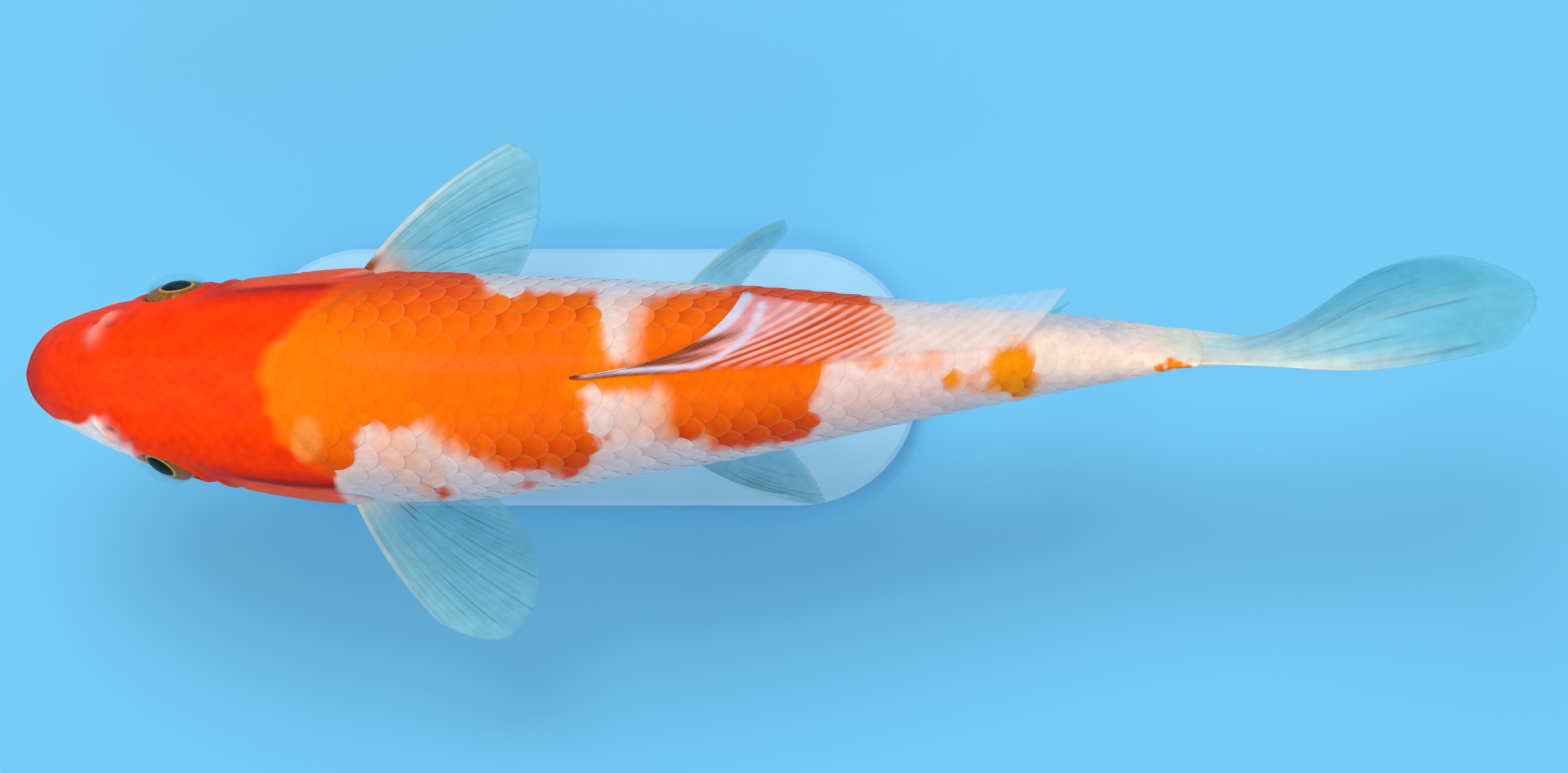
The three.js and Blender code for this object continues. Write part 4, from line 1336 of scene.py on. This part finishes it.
# %% [markdown]
# ## Eyes
#
# A carp's eye is a flattened ball in a bony ring. A clear dome bulges over a flat iris of
# brown and gold, and the lens fills the pupil. Each part is turned about the line that the eye
# looks along. The ball is one piece, and the dome is another, because only it is clear.

# %% Eye parts
# Where each eye looks, in degrees ahead and up, and where its pupil is.
GAZE = {LEFT: (31, 22), RIGHT: (8, 18)}
PUPILS = {LEFT: (31.2, 21.0, 5.6), RIGHT: (35.0, 21.2, 5.4)}
PUPIL_RADIUS = 3.55
# Outlines of the ball and of the dome: radius, and how far out along the line of sight.
BALL = [
    (0, 0.55), (1.6, 0.4), (2.8, 0.1), (3.5, -0.35), (3.7, -0.3), (5, -0.75), (6.4, -1.25),
    (7.2, -1.9), (7.6, -3.2), (7.2, -5), (5.4, -7), (2.5, -8.1), (0, -8.4),
]
DOME_OUT = [(0, 2.75), (2, 2.6), (4, 2.0), (5.6, 1.1), (6.8, -0.1), (7.5, -1.5), (7.8, -2.8)]
DOME_WALL = 0.22
EYE_SPOKES, EYE_STEPS = 96, 8
EYE_ANGLES = np.linspace(0, 2 * np.pi, EYE_SPOKES, endpoint=False)
IRIS_BROWN, IRIS_GOLD, IRIS_OUTER = (0.36, 0.09, 0.004), (0.8, 0.26, 0.01), (0.2, 0.05, 0.004)
IRIS_RING, PUPIL_RIM, PUPIL_BLACK = (0.09, 0.05, 0.008), (0.8, 0.42, 0.05), (0.002, 0.002, 0.003)
BALL_BACK, DOME_REFLECTION_BLUE = (0.2, 0.07, 0.02), (0.75, 0.95, 1.0)


def turned(outline, center, gaze):
    """Rings of points: an outline turned round the line of sight."""
    steps = np.linspace(0, 1, (len(outline) - 1) * EYE_STEPS + 1)
    rows = spline(outline, steps)
    radius, ahead = (rows[1:] if outline[-1][0] else rows[1:-1]).T
    beside = unit(np.cross(gaze, (0, 0, 1.0)))
    over = np.cross(beside, gaze)
    ring = np.cos(EYE_ANGLES)[:, None] * beside + np.sin(EYE_ANGLES)[:, None] * over
    points = center + ahead[:, None, None] * gaze + np.maximum(radius, 0)[:, None, None] * ring
    return points, radius, ahead


def eye_piece(name, rings, tips, material, values):
    """One closed piece of the eye, with a tip at each end of its rings."""
    faces = [tube_faces(len(rings), EYE_SPOKES), tube_caps(len(rings), EYE_SPOKES)]
    made = make_piece(name, np.vstack([rings.reshape(-1, 3), tips]), faces, material, values)
    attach(made, "root")
    return made


def cornea_finish():
    """Almost clear, with a sharp gloss, and a painted pale reflection at its rim."""
    material, surface = new_material("clear dome of the eye")
    rim = attribute(material, "rim", "Fac")
    cover = stretch(material, rim, 0.03, 0.24, start=0.9, end=1.0)
    shade = stretch(material, rim, 0.02, 0.8, start=0.85, end=1.0)
    wire(material, surface, {
        "Base Color": scaled_color(material, DOME_REFLECTION_BLUE, shade),
        "Roughness": 0.03,
        "Specular IOR Level": 1.0,
        "Coat Weight": 1.0,
        "Coat Roughness": 0.02,
        "Alpha": times(material, cover, wavering(material, 300, 2, 0.9, 1.1)),
    })
    return material


# %% Both eyes
eye_finish = finish(
    "eye", shades=[(900, 3, 0.85, 1.12)], roughness=(700, 2, 0.3, 0.45),
    grain=(1400, 3, 0.2, 0.08), sockets={"Specular IOR Level": 0.1})
cornea = cornea_finish()
for side, word in ((LEFT, "left"), (RIGHT, "right")):
    forward, upward = np.radians(GAZE[side])
    level = np.cos(upward)
    gaze = np.array([-np.sin(forward) * level, side * np.cos(forward) * level, np.sin(upward)])
    station, aside, height = PUPILS[side]
    center = np.array([SNOUT_X + station, side * aside, AXIS_HEIGHT + height])
    rings, radius, ahead = turned(BALL, center, gaze)
    out = np.repeat(radius, EYE_SPOKES)
    spin = np.tile(EYE_ANGLES, len(radius))
    streaks = 0.5 + 0.5 * np.sin(spin * 23 + 2 * np.sin(spin * 5))
    iris = layered(
        IRIS_BROWN,
        (IRIS_GOLD, streaks * 0.7),
        (IRIS_OUTER, ramp(out, 4.6, 7.0) * 0.6),
        (IRIS_RING, hump(out - PUPIL_RADIUS - 1.3, 0.9) * 0.6),
        (PUPIL_RIM, hump(out - PUPIL_RADIUS - 0.28, 0.3) * 0.85),
        (PUPIL_BLACK, ramp(out, PUPIL_RADIUS + 0.12, PUPIL_RADIUS - 0.12)),
    )
    iris = np.where(np.repeat(ahead > -2.6, EYE_SPOKES)[:, None], iris, BALL_BACK)
    tips = center + np.outer([BALL[0][1], BALL[-1][1]], gaze)
    ball = eye_piece(f"eyeball_{word}", rings, tips, eye_finish,
                     {"tint": np.vstack([iris, PUPIL_BLACK, BALL_BACK])})
    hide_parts(f"eye_{word}")

    inner_outline = [(max(r - DOME_WALL * 0.7, 0), a - DOME_WALL) for r, a in DOME_OUT]
    outer, outer_radius, _ = turned(DOME_OUT, center, gaze)
    inner, inner_radius, _ = turned(inner_outline, center, gaze)
    shell = np.vstack([outer, inner[::-1]])
    out = np.append(np.repeat(np.append(outer_radius, inner_radius[::-1]), EYE_SPOKES), [0, 0])
    upper = np.append(np.tile(np.sin(EYE_ANGLES), len(shell)), [0, 0])
    # Painted reflection: the dome's pale rim, a little weaker on its upper half.
    rim = (1 - 0.15 * ramp(upper, 0, 0.6)) * out / DOME_OUT[-1][0]
    tips = center + np.outer([DOME_OUT[0][1], inner_outline[0][1]], gaze)
    eye_piece(f"cornea_{word}", shell, tips, cornea, {"rim": rim})

# %% [markdown]
# ## Feelers
#
# A carp has two pairs of soft feelers: a short pair on the upper lip and a longer pair at the
# corners of the mouth. Each is a tapered tube with a swollen root that sinks into the lip.

# %% Feelers
# Where each leaves the lip, how far its tip is back, aside and up from there, and thickness.
FEELERS = {
    "upper": ((7, 10.4, -10), (2.8, 2.8, -2.6), 0.5),
    "lower": ((12.5, 12.6, -14), (6.5, 4.6, -5.4), 0.65),
}
FEELER_RINGS, FEELER_SPOKES = 30, 16
FEELER_ROOT, FEELER_TIP = (0.85, 0.12, 0.06), (0.9, 0.6, 0.5)

t = np.linspace(0, 1, FEELER_RINGS)[:, None]
turn = np.linspace(0, 2 * np.pi, FEELER_SPOKES, endpoint=False)[None, :, None]
spoke = np.arange(FEELER_SPOKES)
faces = [
    tube_faces(FEELER_RINGS, FEELER_SPOKES, 1)[:, ::-1],
    np.stack([spoke[::-1], (FEELER_RINGS - 1) * FEELER_SPOKES + spoke]),
]
color = blend(FEELER_ROOT, FEELER_TIP, np.repeat(t[:, 0], FEELER_SPOKES))
swollen = mix(1, 0.5, t) + 0.9 * np.exp(-t * 6)
rounded = np.sqrt(np.clip((1.005 - t) / 0.08, 0, 1))
for side, word in ((LEFT, "left"), (RIGHT, "right")):
    for which, (root, reach, thick) in FEELERS.items():
        middle = body_at(float(root[0]))[0]
        base = place(root[0], middle + side * root[1], root[2])
        step = np.array([reach[0], side * reach[1], reach[2]])
        first, elbow, last = base - 0.4 * step, base + 0.4 * step, base + step
        elbow[1] += 0.25 * step[1]
        path = (1 - t) ** 2 * first + 2 * t * (1 - t) * elbow + t**2 * last
        ahead = unit(np.gradient(path, axis=0))
        beside = unit(np.cross(ahead, (0, 0, 1.0)))
        over = np.cross(beside, ahead)
        ring = np.cos(turn) * beside[:, None] + np.sin(turn) * over[:, None]
        points = path[:, None] + (thick * swollen * rounded)[:, None] * ring
        feeler = make_piece(f"feeler_{which}_{word}", points.reshape(-1, 3), faces, skin_finish,
                            {"tint": color})
        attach(feeler, "root")
        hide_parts(f"barbel_{which}_{word}")

# %% [markdown]
# ## Stand
#
# The stand is only there to hold the fish up, so it keeps out of the way: a satin painted
# plate and two fine steel rods. The solids are already the right shape. They need only their
# finish: paint with a faint orange peel and specks, and steel that is brushed along the rod.

# %% Stand materials
PAINT_BLUE, STEEL_GREY = (0.32, 0.62, 0.84), (0.6, 0.61, 0.62, 1)


def brushed_steel():
    material, surface = new_material("brushed steel")
    along_rod = {"Vector": object_place(material), "Scale": (1, 1, 0.03)}
    hair = noise(material, 2600, 3, node(material, "Mapping", along_rod).outputs["Vector"])
    wire(material, surface, {
        "Base Color": STEEL_GREY,
        "Metallic": 1.0,
        "Roughness": stretch(material, hair, 0.24, 0.42),
        "Normal": bump(material, hair, 0.2, 0.05),
    })
    return material


paint = finish(
    "satin paint", shades=[(60, 3, 0.96, 1.03), (2500, 2, 0.97, 1.02)],
    roughness=(200, 3, 0.4, 0.52), grain=(700, 2, 0.25, 0.1), sockets={}, color=PAINT_BLUE)
steel = brushed_steel()
for name, look in (("stand_base", paint), ("stand_rod_front", steel), ("stand_rod_rear", steel)):
    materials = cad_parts[name].data.materials
    materials.clear()
    materials.append(look)

# %% [markdown]
# ## Floor
#
# A plain floor of pale blue carries the shadow and lights the belly from below. Its blue is
# what the white flanks of a pond fish usually reflect.

# %% Floor
FLOOR_HALF = 4.0
FLOOR_BLUE, FLOOR_ROUGHNESS = (0.143, 0.522, 0.81, 1), 0.75

corners = [(x * FLOOR_HALF, y * FLOOR_HALF, 0) for x, y in ((-1, -1), (1, -1), (1, 1), (-1, 1))]
floor_mesh = bpy.data.meshes.new("floor")
floor_mesh.from_pydata(corners, [], [(0, 1, 2, 3)])
floor_finish, floor_surface = new_material("pale floor")
wire(floor_finish, floor_surface, {"Base Color": FLOOR_BLUE, "Roughness": FLOOR_ROUGHNESS})
floor_mesh.materials.append(floor_finish)
floor = bpy.data.objects.new("floor", floor_mesh)
bpy.context.collection.objects.link(floor)
